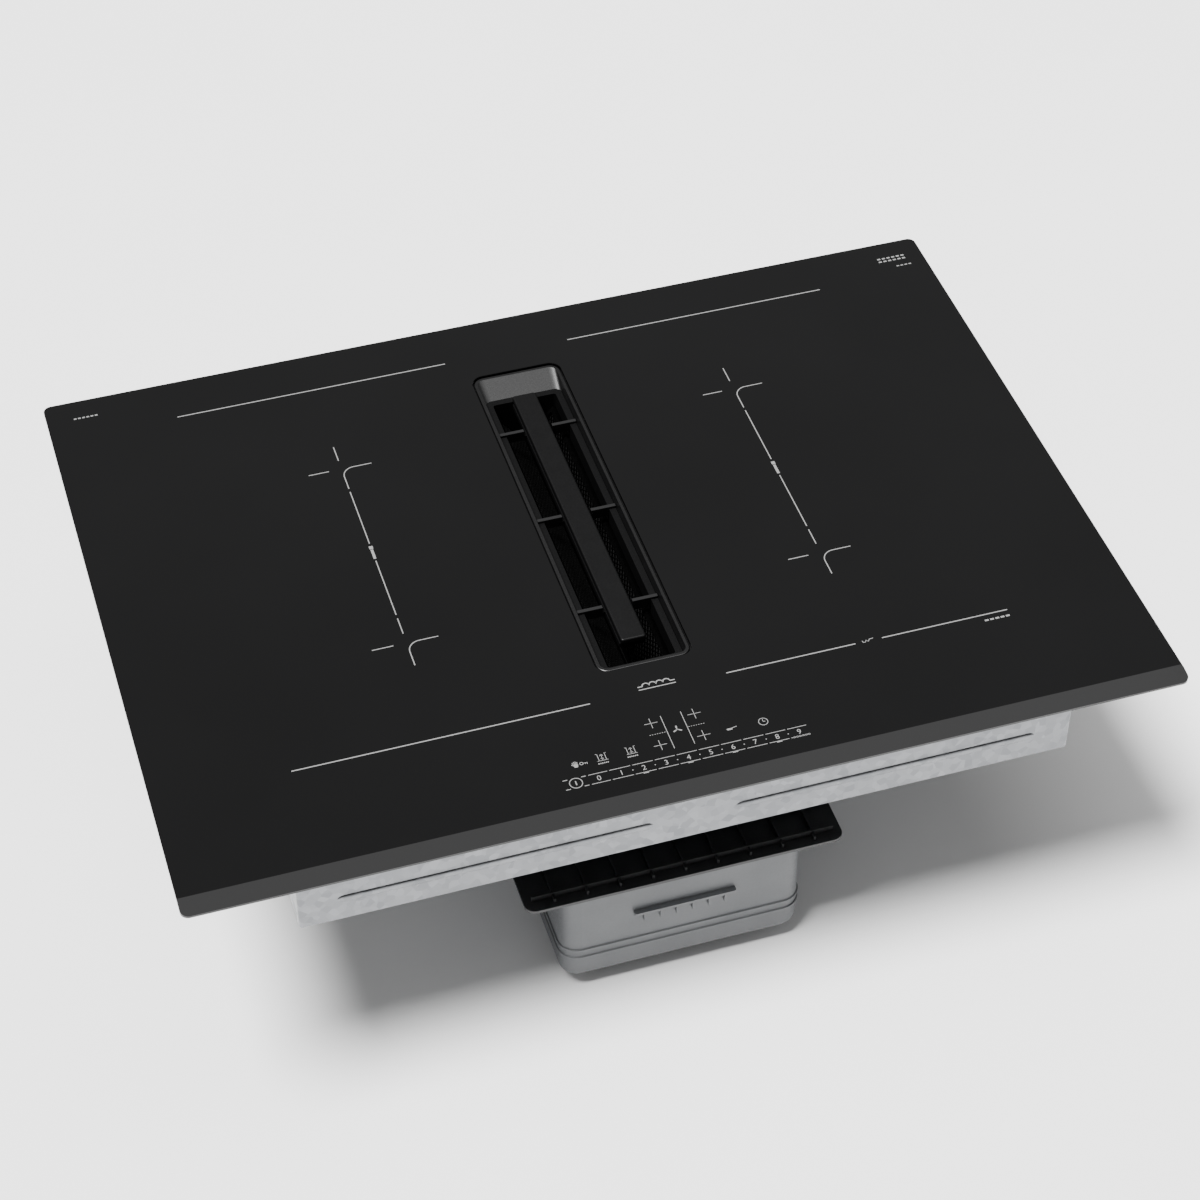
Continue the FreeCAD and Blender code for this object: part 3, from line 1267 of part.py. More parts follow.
def tank_latch():
    """A swinging latch: knuckle on its pin, arm, toe under the tank's catch, finger tab below."""
    y0 = latch_places() - LATCH_W / 2
    y1 = latch_places() + LATCH_W / 2
    face = TANK[1]
    pin_x = face + LATCH_PIN_OUT
    pin_z = Z_DECK_BOTTOM - LATCH_PIN_DROP
    arm_in = face + CATCH_OUT + 3
    catch_top = Z_TANK_TOP - CATCH_DROP
    toe = (
        (arm_in, pin_z),
        (arm_in, catch_top - 1),
        (face + CATCH_OUT + 0.5, catch_top - 2.2),
        (face + 3.1, catch_top - 6.4),
        (face + 3.1, catch_top - 9.0),
        (arm_in, catch_top - 10.5),
        (arm_in + 3, catch_top - 18.0),
        (arm_in + 5, catch_top - 18.0),
        (arm_in + 5, pin_z),
    )
    arm = prism_along_y(toe, y0, y1)
    knuckle = cylinder_along(BACKWARDS, Vector(pin_x, y0, pin_z), y1 - y0, LATCH_KNUCKLE_R)
    bore = cylinder_along(BACKWARDS, Vector(pin_x, y0 - 1, pin_z), y1 - y0 + 2, LATCH_PIN_R + SHAFT_CLEAR)
    return join([arm, knuckle]).cut(bore)


def latch_pin():
    """The steel pin through the deck's lugs."""
    reach = LATCH_W / 2 + LUG_GAP + LUG_T
    start = Vector(TANK[1] + LATCH_PIN_OUT, latch_places() - reach, Z_DECK_BOTTOM - LATCH_PIN_DROP)
    return cylinder_along(BACKWARDS, start, 2 * reach, LATCH_PIN_R)


# ---- Worktop clamps ----
def worktop_clamps():
    """Four bent steel angles on the tray's sides, whose tongues reach under the worktop."""
    clamps = []
    z0 = Z_TRAY_BOTTOM + CLAMP_RISE
    for side in (-1, 1):
        for y in (-CLAMP_Y, CLAMP_Y):
            face = TRAY[1]
            y0 = y - CLAMP_W / 2
            y1 = y + CLAMP_W / 2
            x0, x1 = sorted((side * face, side * (face + CLAMP_T)))
            leg = block((x0, x1, y0, y1), z0, z0 + CLAMP_T + CLAMP_LEG)
            x0, x1 = sorted((side * face, side * (face + CLAMP_OUT)))
            tongue = block((x0, x1, y0, y1), z0, z0 + CLAMP_T)
            hole_x = side * (face + CLAMP_HOLE_OUT)
            hole = cylinder(hole_x, y, z0 - 1, z0 + CLAMP_T + 1, CLAMP_HOLE_R)
            clamps.append(join([leg, tongue]).cut(hole))
    clamp_group = group(clamps)
    for tip, direction in bracket_screw_places():
        clamp_group = screw_holes(clamp_group, [tip], direction, BRACKET_SCREW_L)
    return clamp_group


def cover_screws():
    """The short screws of the outlet port, the terminal cover and the worktop clamps."""
    screws = [screw(tip, FORWARDS, PORT_SCREW_L) for tip in port_screw_places()]
    screws += [screw(tip, UP, TERMINAL_SCREW_L) for tip in terminal_screw_places()]
    screws += [screw(*place, BRACKET_SCREW_L) for place in bracket_screw_places()]
    return screws


def build():
    """Every node by name."""
    nodes = {
        "glass_plate": glass_plate(),
        "glass_seal": glass_seal(),
        "tray_adhesive": tray_adhesive(),
        "inlet_collar": inlet_collar(),
        "filter_frame": filter_frame(),
        "lift_bar": lift_bar(),
        "grease_filter_right": grease_filter(),
        "filter_rail": filter_rail(),
        "collecting_tray": collecting_tray(),
        "induction_tray": induction_tray(),
        "air_shaft": air_shaft(),
        "plenum_wall": plenum_wall(),
        "fan_deck": fan_deck(),
        "fan_scroll": fan_scroll(),
        "outlet_port": outlet_port(),
        "fan_impeller": fan_impeller(),
        "motor_rotor": motor_rotor(),
        "motor_shaft": motor_shaft(),
        "motor_mount": motor_mount(),
        "motor_stator": motor_stator(),
        "overflow_tank": overflow_tank(),
        "tank_gasket": tank_gasket(),
        "control_holder": control_holder(),
        "control_board": control_board(),
        "ribbon_cable": ribbon_cable(),
        "mains_filter_board": mains_filter_board(),
        "terminal_block": terminal_block(),
        "terminal_cover": terminal_cover(),
        "cable_gland": cable_gland(),
        "worktop_clamps": worktop_clamps(),
        "motor_screws": group([screw(tip, UP, MOTOR_SCREW_L) for tip in motor_screw_places()]),
        "deck_screws": group([screw(tip, UP, DECK_SCREW_L) for tip in deck_screw_places()]),
        "module_screws": group([screw(tip, UP, MODULE_SCREW_L) for tip in module_screw_places()]),
        "cover_screws": group(cover_screws()),
    }
    nodes["grease_filter_left"] = mirrored(nodes["grease_filter_right"])
    pairs = {
        "tank_latch": tank_latch(),
        "coil_carrier": coil_carrier(),
        "coil_formers": group([coil_former(COIL_BACK), coil_former(COIL_FRONT)]),
        "power_board": power_board(),
        "heatsink": heatsink(),
        "cooling_fan": blower_housing(),
        "cooling_impeller": blower_wheel(),
    }
    for place, rect in (("back", COIL_BACK), ("front", COIL_FRONT)):
        pairs["coil_" + place] = coil(rect)
    for name, shape in pairs.items():
        nodes[name + "_right"] = shape
        nodes[name + "_left"] = mirrored(shape)
    both_sides = {
        "latch_pins": [latch_pin()],
        "mica_sheets": [mica_sheet()],
        "ferrite_bars": ferrite_bars(),
        "temperature_sensors": temperature_sensors(),
        "carrier_posts": carrier_posts(),
        "board_standoffs": board_standoffs(),
        "board_screws": board_screws(),
    }
    for name, shapes in both_sides.items():
        nodes[name] = group(shapes + [mirrored(shape) for shape in shapes])
    return nodes


os.makedirs("parts", exist_ok=True)
for node, shape in build().items():
    box = shape.BoundBox
    sides = (box.XMin, box.XMax, box.YMin, box.YMax, box.ZMin, box.ZMax)
    print(node, shape.isValid(), len(shape.Solids), round(shape.Volume), [round(v, 2) for v in sides])
    shape.exportStep(os.path.join("parts", node + ".step"))
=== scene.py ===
import math

import bmesh
import bpy
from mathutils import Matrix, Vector
from mathutils.bvhtree import BVHTree


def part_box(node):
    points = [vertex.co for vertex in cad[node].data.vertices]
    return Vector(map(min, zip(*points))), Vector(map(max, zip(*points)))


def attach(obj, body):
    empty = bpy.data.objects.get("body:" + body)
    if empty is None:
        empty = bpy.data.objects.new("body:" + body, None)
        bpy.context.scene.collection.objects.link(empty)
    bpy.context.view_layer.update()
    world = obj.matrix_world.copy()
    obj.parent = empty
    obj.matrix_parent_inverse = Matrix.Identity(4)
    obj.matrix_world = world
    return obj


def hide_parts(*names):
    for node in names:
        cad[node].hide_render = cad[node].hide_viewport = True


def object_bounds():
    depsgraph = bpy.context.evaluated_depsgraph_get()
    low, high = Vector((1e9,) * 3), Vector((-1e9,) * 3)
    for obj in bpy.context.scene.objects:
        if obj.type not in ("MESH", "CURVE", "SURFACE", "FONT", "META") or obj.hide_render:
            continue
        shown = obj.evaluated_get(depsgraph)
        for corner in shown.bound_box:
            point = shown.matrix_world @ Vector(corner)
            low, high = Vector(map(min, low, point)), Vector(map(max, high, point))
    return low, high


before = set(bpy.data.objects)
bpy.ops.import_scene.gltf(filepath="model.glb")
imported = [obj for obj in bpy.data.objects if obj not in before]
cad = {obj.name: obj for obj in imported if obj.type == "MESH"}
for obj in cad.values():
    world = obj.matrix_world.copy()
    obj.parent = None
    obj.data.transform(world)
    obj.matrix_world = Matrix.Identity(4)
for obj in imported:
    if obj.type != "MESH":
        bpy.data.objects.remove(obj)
frame_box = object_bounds()
mm = 0.001

# Glass plate. A 4 mm plate of black glass-ceramic, cut and ground on all its edges, with a long
# polished facet along the front. It lies on the worktop on its foam seal and carries everything
# that hangs below it.


def new_finish(name, colour, roughness, metal=0.0):
    """A material with its shader; colour, roughness and metal are where its patterns start from."""
    finish = bpy.data.materials.new(name)
    finish.use_nodes = True
    shader = finish.node_tree.nodes["Principled BSDF"]
    shader.inputs["Base Color"].default_value = (*colour, 1.0)
    shader.inputs["Roughness"].default_value = roughness
    shader.inputs["Metallic"].default_value = metal
    return finish, shader


def place_on_piece(finish, stretch=(1.0, 1.0, 1.0)):
    """Where a spot lies on the piece, in metres, stretched along the axes."""
    nodes = finish.node_tree.nodes
    coordinates = nodes.new("ShaderNodeTexCoord")
    mapping = nodes.new("ShaderNodeMapping")
    mapping.inputs["Scale"].default_value = stretch
    finish.node_tree.links.new(coordinates.outputs["Object"], mapping.inputs["Vector"])
    return mapping.outputs["Vector"]


def cloud(finish, place, scale, detail=3.0):
    """A soft random value, with this many blotches to a metre."""
    noise = finish.node_tree.nodes.new("ShaderNodeTexNoise")
    noise.inputs["Scale"].default_value = scale
    noise.inputs["Detail"].default_value = detail
    finish.node_tree.links.new(place, noise.inputs["Vector"])
    return noise.outputs["Fac"]


def vary_colour(finish, shader, value, dark, light, low=0.35, high=0.65):
    ramp = finish.node_tree.nodes.new("ShaderNodeValToRGB")
    ramp.color_ramp.elements[0].position = low
    ramp.color_ramp.elements[0].color = (*dark, 1.0)
    ramp.color_ramp.elements[1].position = high
    ramp.color_ramp.elements[1].color = (*light, 1.0)
    finish.node_tree.links.new(value, ramp.inputs["Fac"])
    finish.node_tree.links.new(ramp.outputs["Color"], shader.inputs["Base Color"])


def vary_roughness(finish, shader, value, smooth, rough):
    spread = finish.node_tree.nodes.new("ShaderNodeMapRange")
    spread.inputs["From Min"].default_value = 0.3
    spread.inputs["From Max"].default_value = 0.7
    spread.inputs["To Min"].default_value = smooth
    spread.inputs["To Max"].default_value = rough
    finish.node_tree.links.new(value, spread.inputs["Value"])
    finish.node_tree.links.new(spread.outputs["Result"], shader.inputs["Roughness"])


def relief(finish, shader, value, depth, strength=1.0):
    """Fine relief in the surface, depth in metres."""
    bump = finish.node_tree.nodes.new("ShaderNodeBump")
    bump.inputs["Strength"].default_value = strength
    bump.inputs["Distance"].default_value = depth
    finish.node_tree.links.new(value, bump.inputs["Height"])
    finish.node_tree.links.new(bump.outputs["Normal"], shader.inputs["Normal"])


def dress(finish, *names):
    """Gives CAD pieces their finish."""
    for name in names:
        cad[name].data.materials.clear()
        cad[name].data.materials.append(finish)


black_glass, shader = new_finish("black_glass", (0.0012, 0.0012, 0.0013), 0.07)
shader.inputs["IOR"].default_value = 1.52
place = place_on_piece(black_glass)
vary_colour(
    black_glass, shader, cloud(black_glass, place, 5.0),
    (0.0010, 0.0010, 0.0011), (0.0015, 0.0015, 0.0016),
)
vary_roughness(black_glass, shader, cloud(black_glass, place, 260.0, 5.0), 0.05, 0.09)
relief(black_glass, shader, cloud(black_glass, place, 45.0, 1.0), 0.00002, 0.2)
dress(black_glass, "glass_plate")

# Print on the glass. A white ceramic enamel, screen printed on the plate's top and fired into it,
# standing only a few hundredths of a millimetre proud. Long lines frame the cooking zones.
glass_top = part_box("glass_plate")[1].z
ink_proud = 0.05 * mm
ink_sunk = 0.03 * mm
zone_x = 154.4
zone_back_y = 125.3
zone_front_y = -65.5
zone_bend_r = 9.0
zone_leg = 22.9
zone_line_w = 0.8
long_line_w = 0.95

enamel, shader = new_finish("white_enamel", (0.17, 0.17, 0.168), 0.5)
place = place_on_piece(enamel)
vary_colour(enamel, shader, cloud(enamel, place, 900.0), (0.15, 0.15, 0.148), (0.185, 0.185, 0.183))
relief(enamel, shader, cloud(enamel, place, 4000.0), 0.00001, 0.3)


def new_piece(name, mesh, finish, body):
    """Puts a finished bmesh in the scene as a piece that moves with a body."""
    bmesh.ops.recalc_face_normals(mesh, faces=mesh.faces)
    data = bpy.data.meshes.new(name)
    mesh.to_mesh(data)
    mesh.free()
    data.materials.append(finish)
    piece = bpy.data.objects.new(name, data)
    bpy.context.scene.collection.objects.link(piece)
    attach(piece, body)
    return piece


def bridge(mesh, rings, closed):
    """Skins a row of equal rings of vertices; an open row gets a face at each end."""
    count = len(rings[0])
    pairs = list(zip(rings, rings[1:]))
    if closed:
        pairs.append((rings[-1], rings[0]))
    for near, far in pairs:
        for i in range(count):
            j = (i + 1) % count
            mesh.faces.new((near[i], near[j], far[j], far[i]))
    if not closed:
        mesh.faces.new(rings[0])
        mesh.faces.new(rings[-1])


def add_slab(mesh, outline, z0, z1):
    """A flat slab with this outline, in metres."""
    bottom = [mesh.verts.new((x, y, z0)) for x, y in outline]
    top = [mesh.verts.new((x, y, z1)) for x, y in outline]
    bridge(mesh, [bottom, top], False)


def add_stroke(mesh, width, line):
    """A printed line of this width along these points on the glass, in millimetres."""
    closed = line[0] == line[-1]
    points = [Vector(p) * mm for p in (line[:-1] if closed else line)]
    last = len(points) - 1
    rings = []
    for i, here in enumerate(points):
        before = points[i - 1] if closed or i else here
        after = points[(i + 1) % len(points)] if closed or i < last else here
        along = (after - before).normalized()
        side = Vector((-along.y, along.x)) * (width * mm / 2)
        left, right = here + side, here - side
        low, high = glass_top - ink_sunk, glass_top + ink_proud
        corners = ((left, low), (left, high), (right, high), (right, low))
        rings.append([mesh.verts.new((p.x, p.y, z)) for p, z in corners])
    bridge(mesh, rings, closed)


def bow(x, y, radius, start_deg, end_deg, steps=12):
    """Points along an arc."""
    points = []
    for i in range(steps + 1):
        angle = math.radians(start_deg + (end_deg - start_deg) * i / steps)
        points.append((x + radius * math.cos(angle), y + radius * math.sin(angle)))
    return points


def hoop(x, y, radius, steps=36):
    points = bow(x, y, radius, 0, 360, steps)
    return points[:-1] + [points[0]]


def print_on_glass(name, strokes=(), patches=()):
    """One printed mark: strokes are (width, points), patches are filled outlines, in millimetres."""
    mesh = bmesh.new()
    for width, line in strokes:
        add_stroke(mesh, width, line)
    for outline in patches:
        add_slab(mesh, [(x * mm, y * mm) for x, y in outline], glass_top - ink_sunk, glass_top + ink_proud)
    return new_piece(name, mesh, enamel, "hob")


def oblong(x0, x1, y0, y1):
    return [(x0, y0), (x1, y0), (x1, y1), (x0, y1)]


print_on_glass("print_long_lines", [
    (long_line_w, [(-259.0, 219.75), (-49.0, 219.75)]),
    (long_line_w, [(49.7, 219.75), (259.6, 219.75)]),
    (long_line_w, [(-259.0, -159.9), (-49.2, -159.9)]),
    (long_line_w, [(49.6, -159.9), (145.2, -159.9)]),
    (long_line_w, [(165.0, -159.9), (259.8, -159.9)]),
    (0.6, [
        (150.6, -158.6), (150.9, -160.4), (152.6, -160.4), (153.4, -158.7),
        (154.6, -160.3), (156.2, -158.4), (159.0, -158.2),
    ]),
])
for side, x in (("left", -zone_x), ("right", zone_x)):
    strokes = [
        (zone_line_w, [(x, 150.9), (x, 134.9)]),
        (zone_line_w, [(x, 98.9), (x, 40.6)]),
        (zone_line_w, [(x, 21.9), (x, -36.2)]),
        (zone_line_w, [(x, -40.0), (x, -55.8)]),
    ]
    for y in (zone_back_y, zone_front_y):
        strokes.append((zone_line_w, [(x - 25.0, y), (x - 9.6, y)]))
        turn = bow(x + zone_bend_r, y - zone_bend_r, zone_bend_r, 180, 90)
        strokes.append((zone_line_w, [(x, y - zone_leg)] + turn + [(x + zone_leg, y)]))
    print_on_glass("print_zone_" + side, strokes, [
        oblong(x - 1.4, x + 1.4, 34.6, 37.8),
        oblong(x - 1.0, x + 1.0, 24.0, 34.0),
    ])

# Slider print. Two rules with a gap at each step, figures for the power levels between them, a dot
# between the levels, and a short bar below every second figure. Part of the same enamel.
slider_back_y = -222.7
slider_front_y = -231.2
figure_y = -227.0
figure_pitch = 15.83
figure_zero_x = -63.7
figure_h = 4.3
power_x = -79.8
rule_w = 0.5
rule_end_w = 0.6

strokes = []
breaks = [-70.7, -56.0, -39.8, -23.8, -8.2, 7.5, 23.4, 39.3, 55.2, 70.9, 86.1]
for y in (slider_back_y, slider_front_y):
    for start, end in zip(breaks, breaks[1:]):
        strokes.append((rule_w, [(start + 0.7, y), (end - 0.7, y)]))
    strokes.append((rule_end_w, [(-88.0, y), (-84.6, y)]))
    strokes.append((rule_end_w, [(-75.0, y), (-71.7, y)]))
strokes.append((0.6, hoop(power_x, figure_y, 4.4)))
strokes.append((0.8, [(power_x, figure_y - 1.9), (power_x, figure_y + 1.9)]))
dots = []
for step in range(1, 9):
    x = figure_zero_x + figure_pitch * (step + 0.5)
    dots.append(bow(x, figure_y, 0.45, 0, 330, 11))
bars = []
for figure in (2, 4, 6, 8):
    x = figure_zero_x + figure_pitch * figure
    bars.append(oblong(x - 1.9, x + 1.9, -232.3, -231.3))
bars += [oblong(x, x + 1.5, -231.8, -230.6) for x in (73.2, 75.3, 77.4, 79.5, 81.6, 83.7)]
print_on_glass("print_slider", strokes, dots + bars)

mesh = bmesh.new()
for figure in range(10):
    letter = bpy.data.curves.new("figure", "FONT")
    letter.body = str(figure)
    letter.align_x = "CENTER"
    letter.size = 1.0
    letter.extrude = 0.5
    glyph = bpy.data.objects.new("figure", letter)
    bpy.context.scene.collection.objects.link(glyph)
    bpy.context.view_layer.update()
    flat = bpy.data.meshes.new_from_object(glyph.evaluated_get(bpy.context.evaluated_depsgraph_get()))
    low_y = min(v.co.y for v in flat.vertices)
    high_y = max(v.co.y for v in flat.vertices)
    size = figure_h * mm / (high_y - low_y)
    middle = Vector((figure_zero_x + figure_pitch * figure, figure_y)) * mm
    for v in flat.vertices:
        v.co.x = middle.x + v.co.x * size
        v.co.y = middle.y + (v.co.y - (low_y + high_y) / 2) * size
        v.co.z = glass_top + ink_proud if v.co.z > 0 else glass_top - ink_sunk
    mesh.from_mesh(flat)
    bpy.data.objects.remove(glyph)
    bpy.data.curves.remove(letter)
    bpy.data.meshes.remove(flat)
bmesh.ops.remove_doubles(mesh, verts=mesh.verts, dist=0.001 * mm)
new_piece("print_figures", mesh, enamel, "hob")

# Key marks. Small symbols that show where the touch keys are: plus signs for the zones, a three-blade
# fan between two rules, child lock, two air settings, a pan and a clock. The same enamel.
strokes = []
for x in (-15.2, 15.8):
    for y in (-189.9, -210.9):
        strokes.append((0.45, [(x - 4.7, y), (x + 4.7, y)]))
        strokes.append((0.45, [(x, y - 4.7), (x, y + 4.7)]))
for x in (-6.95, 7.5):
    strokes.append((0.5, [(x, -185.2), (x, -216.5)]))
for x0 in (-19.5, 8.3):
    for dash in range(7):
        x = x0 + dash * 1.75
        strokes.append((0.45, [(x, -200.4), (x + 0.95, -200.4)]))
print_on_glass("print_zone_keys", strokes)

blades = []
for turn in (90, 210, 330):
    blade = []
    for out, swing in ((0.4, -50), (1.8, -16), (3.3, -13), (3.5, 6), (2.0, 16), (0.4, 50)):
        angle = math.radians(turn + swing)
        blade.append((0.2 + out * math.cos(angle), -200.4 + out * math.sin(angle)))
    blades.append(blade)
blades.append(bow(0.2, -200.4, 0.7, 0, 330, 11))
print_on_glass("print_fan_mark", (), blades)

palm = [
    (-77.3, -211.0), (-76.4, -213.6), (-74.2, -213.6),
    (-73.6, -211.4), (-73.9, -210.6), (-76.9, -210.6),
]
fingers = [
    (0.55, [(-76.8, -210.7), (-77.2, -208.9)]),
    (0.55, [(-75.9, -210.7), (-76.0, -208.2)]),
    (0.55, [(-75.0, -210.7), (-74.9, -208.2)]),
    (0.55, [(-74.2, -210.7), (-73.8, -208.9)]),
    (0.6, [(-77.0, -211.6), (-78.1, -210.4)]),
]
lock = [
    (0.5, hoop(-71.2, -211.2, 1.15, 18)),
    (0.5, [(-70.0, -211.2), (-66.9, -211.2)]),
    (0.5, [(-67.3, -211.2), (-67.3, -212.5)]),
    (0.5, [(-68.5, -211.2), (-68.5, -212.2)]),
]
print_on_glass("print_lock_mark", lock + fingers, [palm])
for name, x in (("print_air_mark_a", -56.4), ("print_air_mark_b", -35.8)):
    strokes = [
        (0.45, [(x - 2.6, -206.0), (x - 2.6, -212.6)]),
        (0.45, [(x + 2.6, -206.0), (x + 2.6, -212.6)]),
        (0.4, [(x, -207.0), (x, -212.2)]),
        (0.4, [(x - 1.2, -208.4), (x, -206.9)]),
        (0.4, [(x + 1.2, -208.4), (x, -206.9)]),
        (0.4, [(x - 1.2, -210.9), (x + 1.2, -210.9)]),
        (0.4, [(x - 3.8, -206.2), (x - 2.6, -206.2)]),
        (0.4, [(x + 2.6, -206.2), (x + 3.8, -206.2)]),
        (0.4, [(x - 3.8, -212.6), (x + 3.8, -212.6)]),
    ]
    feet = []
    for step in (-4.0, -2.7, -1.4, -0.1, 1.2, 2.5):
        feet.append(oblong(x + step, x + step + 0.9, -215.5, -214.5))
    print_on_glass(name, strokes, feet)
pan = [(32.2, -210.2), (36.6, -210.2), (36.2, -211.7), (32.7, -211.7)]
print_on_glass("print_pan_mark", [(0.5, [(36.4, -210.2), (39.9, -209.7)])], [pan])
print_on_glass("print_clock_mark", [
    (0.5, hoop(58.5, -211.0, 3.2)),
    (0.5, [(58.5, -211.0), (58.5, -208.9)]),
    (0.5, [(58.5, -211.0), (60.0, -211.0)]),
])

# Sign of the heating system. A plain row of coil loops stands in the middle below the inlet, and
# plain short bars stand at the back corners where such a hob has its small print. The same enamel.
loops = []
for loop in range(4):
    loops += bow(-7.5 + loop * 5.0, -155.0, 2.5, 180, 0, 12)[:-1]
print_on_glass("print_heat_mark", [
    (0.9, [(-13.5, -155.0)] + loops + [(10.0, -155.0), (13.5, -155.0)]),
    (0.8, [(-13.5, -157.8), (13.5, -157.8)]),
])
bars = [oblong(-334.5 + i * 3.2, -332.4 + i * 3.2, 239.8, 241.2) for i in range(6)]
bars += [oblong(317.0 + i * 4.0, 319.6 + i * 4.0, 241.0, 242.6) for i in range(6)]
bars += [oblong(317.0 + i * 4.0, 319.6 + i * 4.0, 237.4, 239.0) for i in range(6)]
bars += [oblong(329.0 + i * 3.4, 331.2 + i * 3.4, 229.2, 230.4) for i in range(4)]
bars += [oblong(240.5 + i * 4.0, 243.4 + i * 4.0, -166.4, -164.8) for i in range(5)]
print_on_glass("print_corner_bars", (), bars)

# Seals. A strip of closed-cell foam tape is stuck round the underside of the glass and lies on the
# worktop; inside it a bead of black silicone holds the glass on the tray's rim.
foam, shader = new_finish("foam_tape", (0.03, 0.03, 0.03), 0.95)
place = place_on_piece(foam)
cells = foam.node_tree.nodes.new("ShaderNodeTexVoronoi")
cells.inputs["Scale"].default_value = 1600.0
foam.node_tree.links.new(place, cells.inputs["Vector"])
vary_colour(foam, shader, cells.outputs["Distance"], (0.016, 0.016, 0.017), (0.045, 0.045, 0.046), 0.1, 0.6)
relief(foam, shader, cells.outputs["Distance"], 0.0002, 0.6)
dress(foam, "glass_seal")

silicone, shader = new_finish("black_silicone", (0.02, 0.02, 0.02), 0.38)
place = place_on_piece(silicone)
vary_colour(silicone, shader, cloud(silicone, place, 60.0), (0.016, 0.016, 0.016), (0.026, 0.026, 0.026))
relief(silicone, shader, cloud(silicone, place, 180.0, 2.0), 0.0004, 0.5)
dress(silicone, "tray_adhesive")

# Inlet lining. A black moulded frame clipped into the opening in the glass: a thin rounded rim, walls
# that lead the air down, a long ramp at the back, and the seat for the cassette. The cassette's grip bar
# is moulded in a duller black.
satin_black, shader = new_finish("satin_black_plastic", (0.0022, 0.0022, 0.0022), 0.3)
place = place_on_piece(satin_black)
vary_colour(
    satin_black, shader, cloud(satin_black, place, 70.0),
    (0.0019, 0.0019, 0.0020), (0.0026, 0.0026, 0.0027),
)
vary_roughness(satin_black, shader, cloud(satin_black, place, 900.0), 0.27, 0.33)
relief(satin_black, shader, cloud(satin_black, place, 5200.0, 4.0), 0.00004, 0.35)
dress(satin_black, "inlet_collar")

grip_black, shader = new_finish("grip_black_plastic", (0.0012, 0.0012, 0.0012), 0.46)
place = place_on_piece(grip_black)
shader.inputs["Specular IOR Level"].default_value = 0.16
vary_colour(
    grip_black, shader, cloud(grip_black, place, 70.0),
    (0.0010, 0.0010, 0.0011), (0.0014, 0.0014, 0.0015),
)
vary_roughness(grip_black, shader, cloud(grip_black, place, 900.0), 0.42, 0.5)
relief(grip_black, shader, cloud(grip_black, place, 5200.0, 4.0), 0.00004, 0.35)
dress(grip_black, "lift_bar")

# Coils. Two flat windings a side, each of stranded copper wire laid in a rounded spiral, two layers
# deep, round an open eye for the heat sensor. The strands are lacquered and cemented to the former.
wire_r = 1.45
coil_layers = 2
coil_corner_r = 55.0
copper_wire, shader = new_finish("lacquered_copper_wire", (0.62, 0.27, 0.12), 0.34, 1.0)
place = place_on_piece(copper_wire)
strands = copper_wire.node_tree.nodes.new("ShaderNodeTexVoronoi")
strands.inputs["Scale"].default_value = 2600.0
copper_wire.node_tree.links.new(place, strands.inputs["Vector"])
vary_colour(copper_wire, shader, cloud(copper_wire, place, 140.0), (0.52, 0.21, 0.08), (0.70, 0.33, 0.16))
relief(copper_wire, shader, strands.outputs["Distance"], 0.0002, 0.6)


def rounded_outline(x0, x1, y0, y1, radius, steps=6):
    """A rectangle with rounded corners, anticlockwise from its right side."""
    outline = []
    corners = (
        (x1 - radius, y1 - radius, 0), (x0 + radius, y1 - radius, 90),
        (x0 + radius, y0 + radius, 180), (x1 - radius, y0 + radius, 270),
    )
    for cx, cy, start in corners:
        outline += bow(cx, cy, radius, start, start + 90, steps)
    return outline


def wind_coil(node, replaced_by):
    """Winds wire inside the room of a CAD coil; its box gives the outside, its height the layers."""
    low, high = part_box(node)
    outer = [low.x / mm + wire_r, high.x / mm - wire_r, low.y / mm + wire_r, high.y / mm - wire_r]
    eye_gap = 71.0
    turns = int((eye_gap - wire_r) / (2 * wire_r + 0.1))
    curve = bpy.data.curves.new(replaced_by, "CURVE")
    curve.dimensions = "3D"
    curve.bevel_depth = wire_r * mm
    curve.bevel_resolution = 1
    for layer in range(coil_layers):
        z = low.z + (high.z - low.z) * (layer + 0.5) / coil_layers
        path = []
        for turn in range(turns):
            inset = turn * (2 * wire_r + 0.1)
            here = rounded_outline(
                outer[0] + inset, outer[1] - inset, outer[2] + inset, outer[3] - inset,
                max(coil_corner_r - inset, 12.0),
            )
            path += [(x * mm, y * mm, z) for x, y in here]
        line = curve.splines.new("POLY")
        line.points.add(len(path) - 1)
        for point, spot in zip(line.points, path):
            point.co = (*spot, 1.0)
    bent = bpy.data.objects.new(replaced_by, curve)
    bpy.context.scene.collection.objects.link(bent)
    bpy.context.view_layer.update()
    data = bpy.data.meshes.new_from_object(bent.evaluated_get(bpy.context.evaluated_depsgraph_get()))
    mesh = bmesh.new()
    mesh.from_mesh(data)
    bpy.data.objects.remove(bent)
    bpy.data.curves.remove(curve)
    for v in mesh.verts:
        v.co.z = min(max(v.co.z, low.z), high.z)
    for face in mesh.faces:
        face.smooth = True
    piece = new_piece(replaced_by, mesh, copper_wire, "hob")
    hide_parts(node)


for side in ("left", "right"):
    for place_name in ("back", "front"):
        wind_coil(f"coil_{place_name}_{side}", f"winding_{place_name}_{side}")

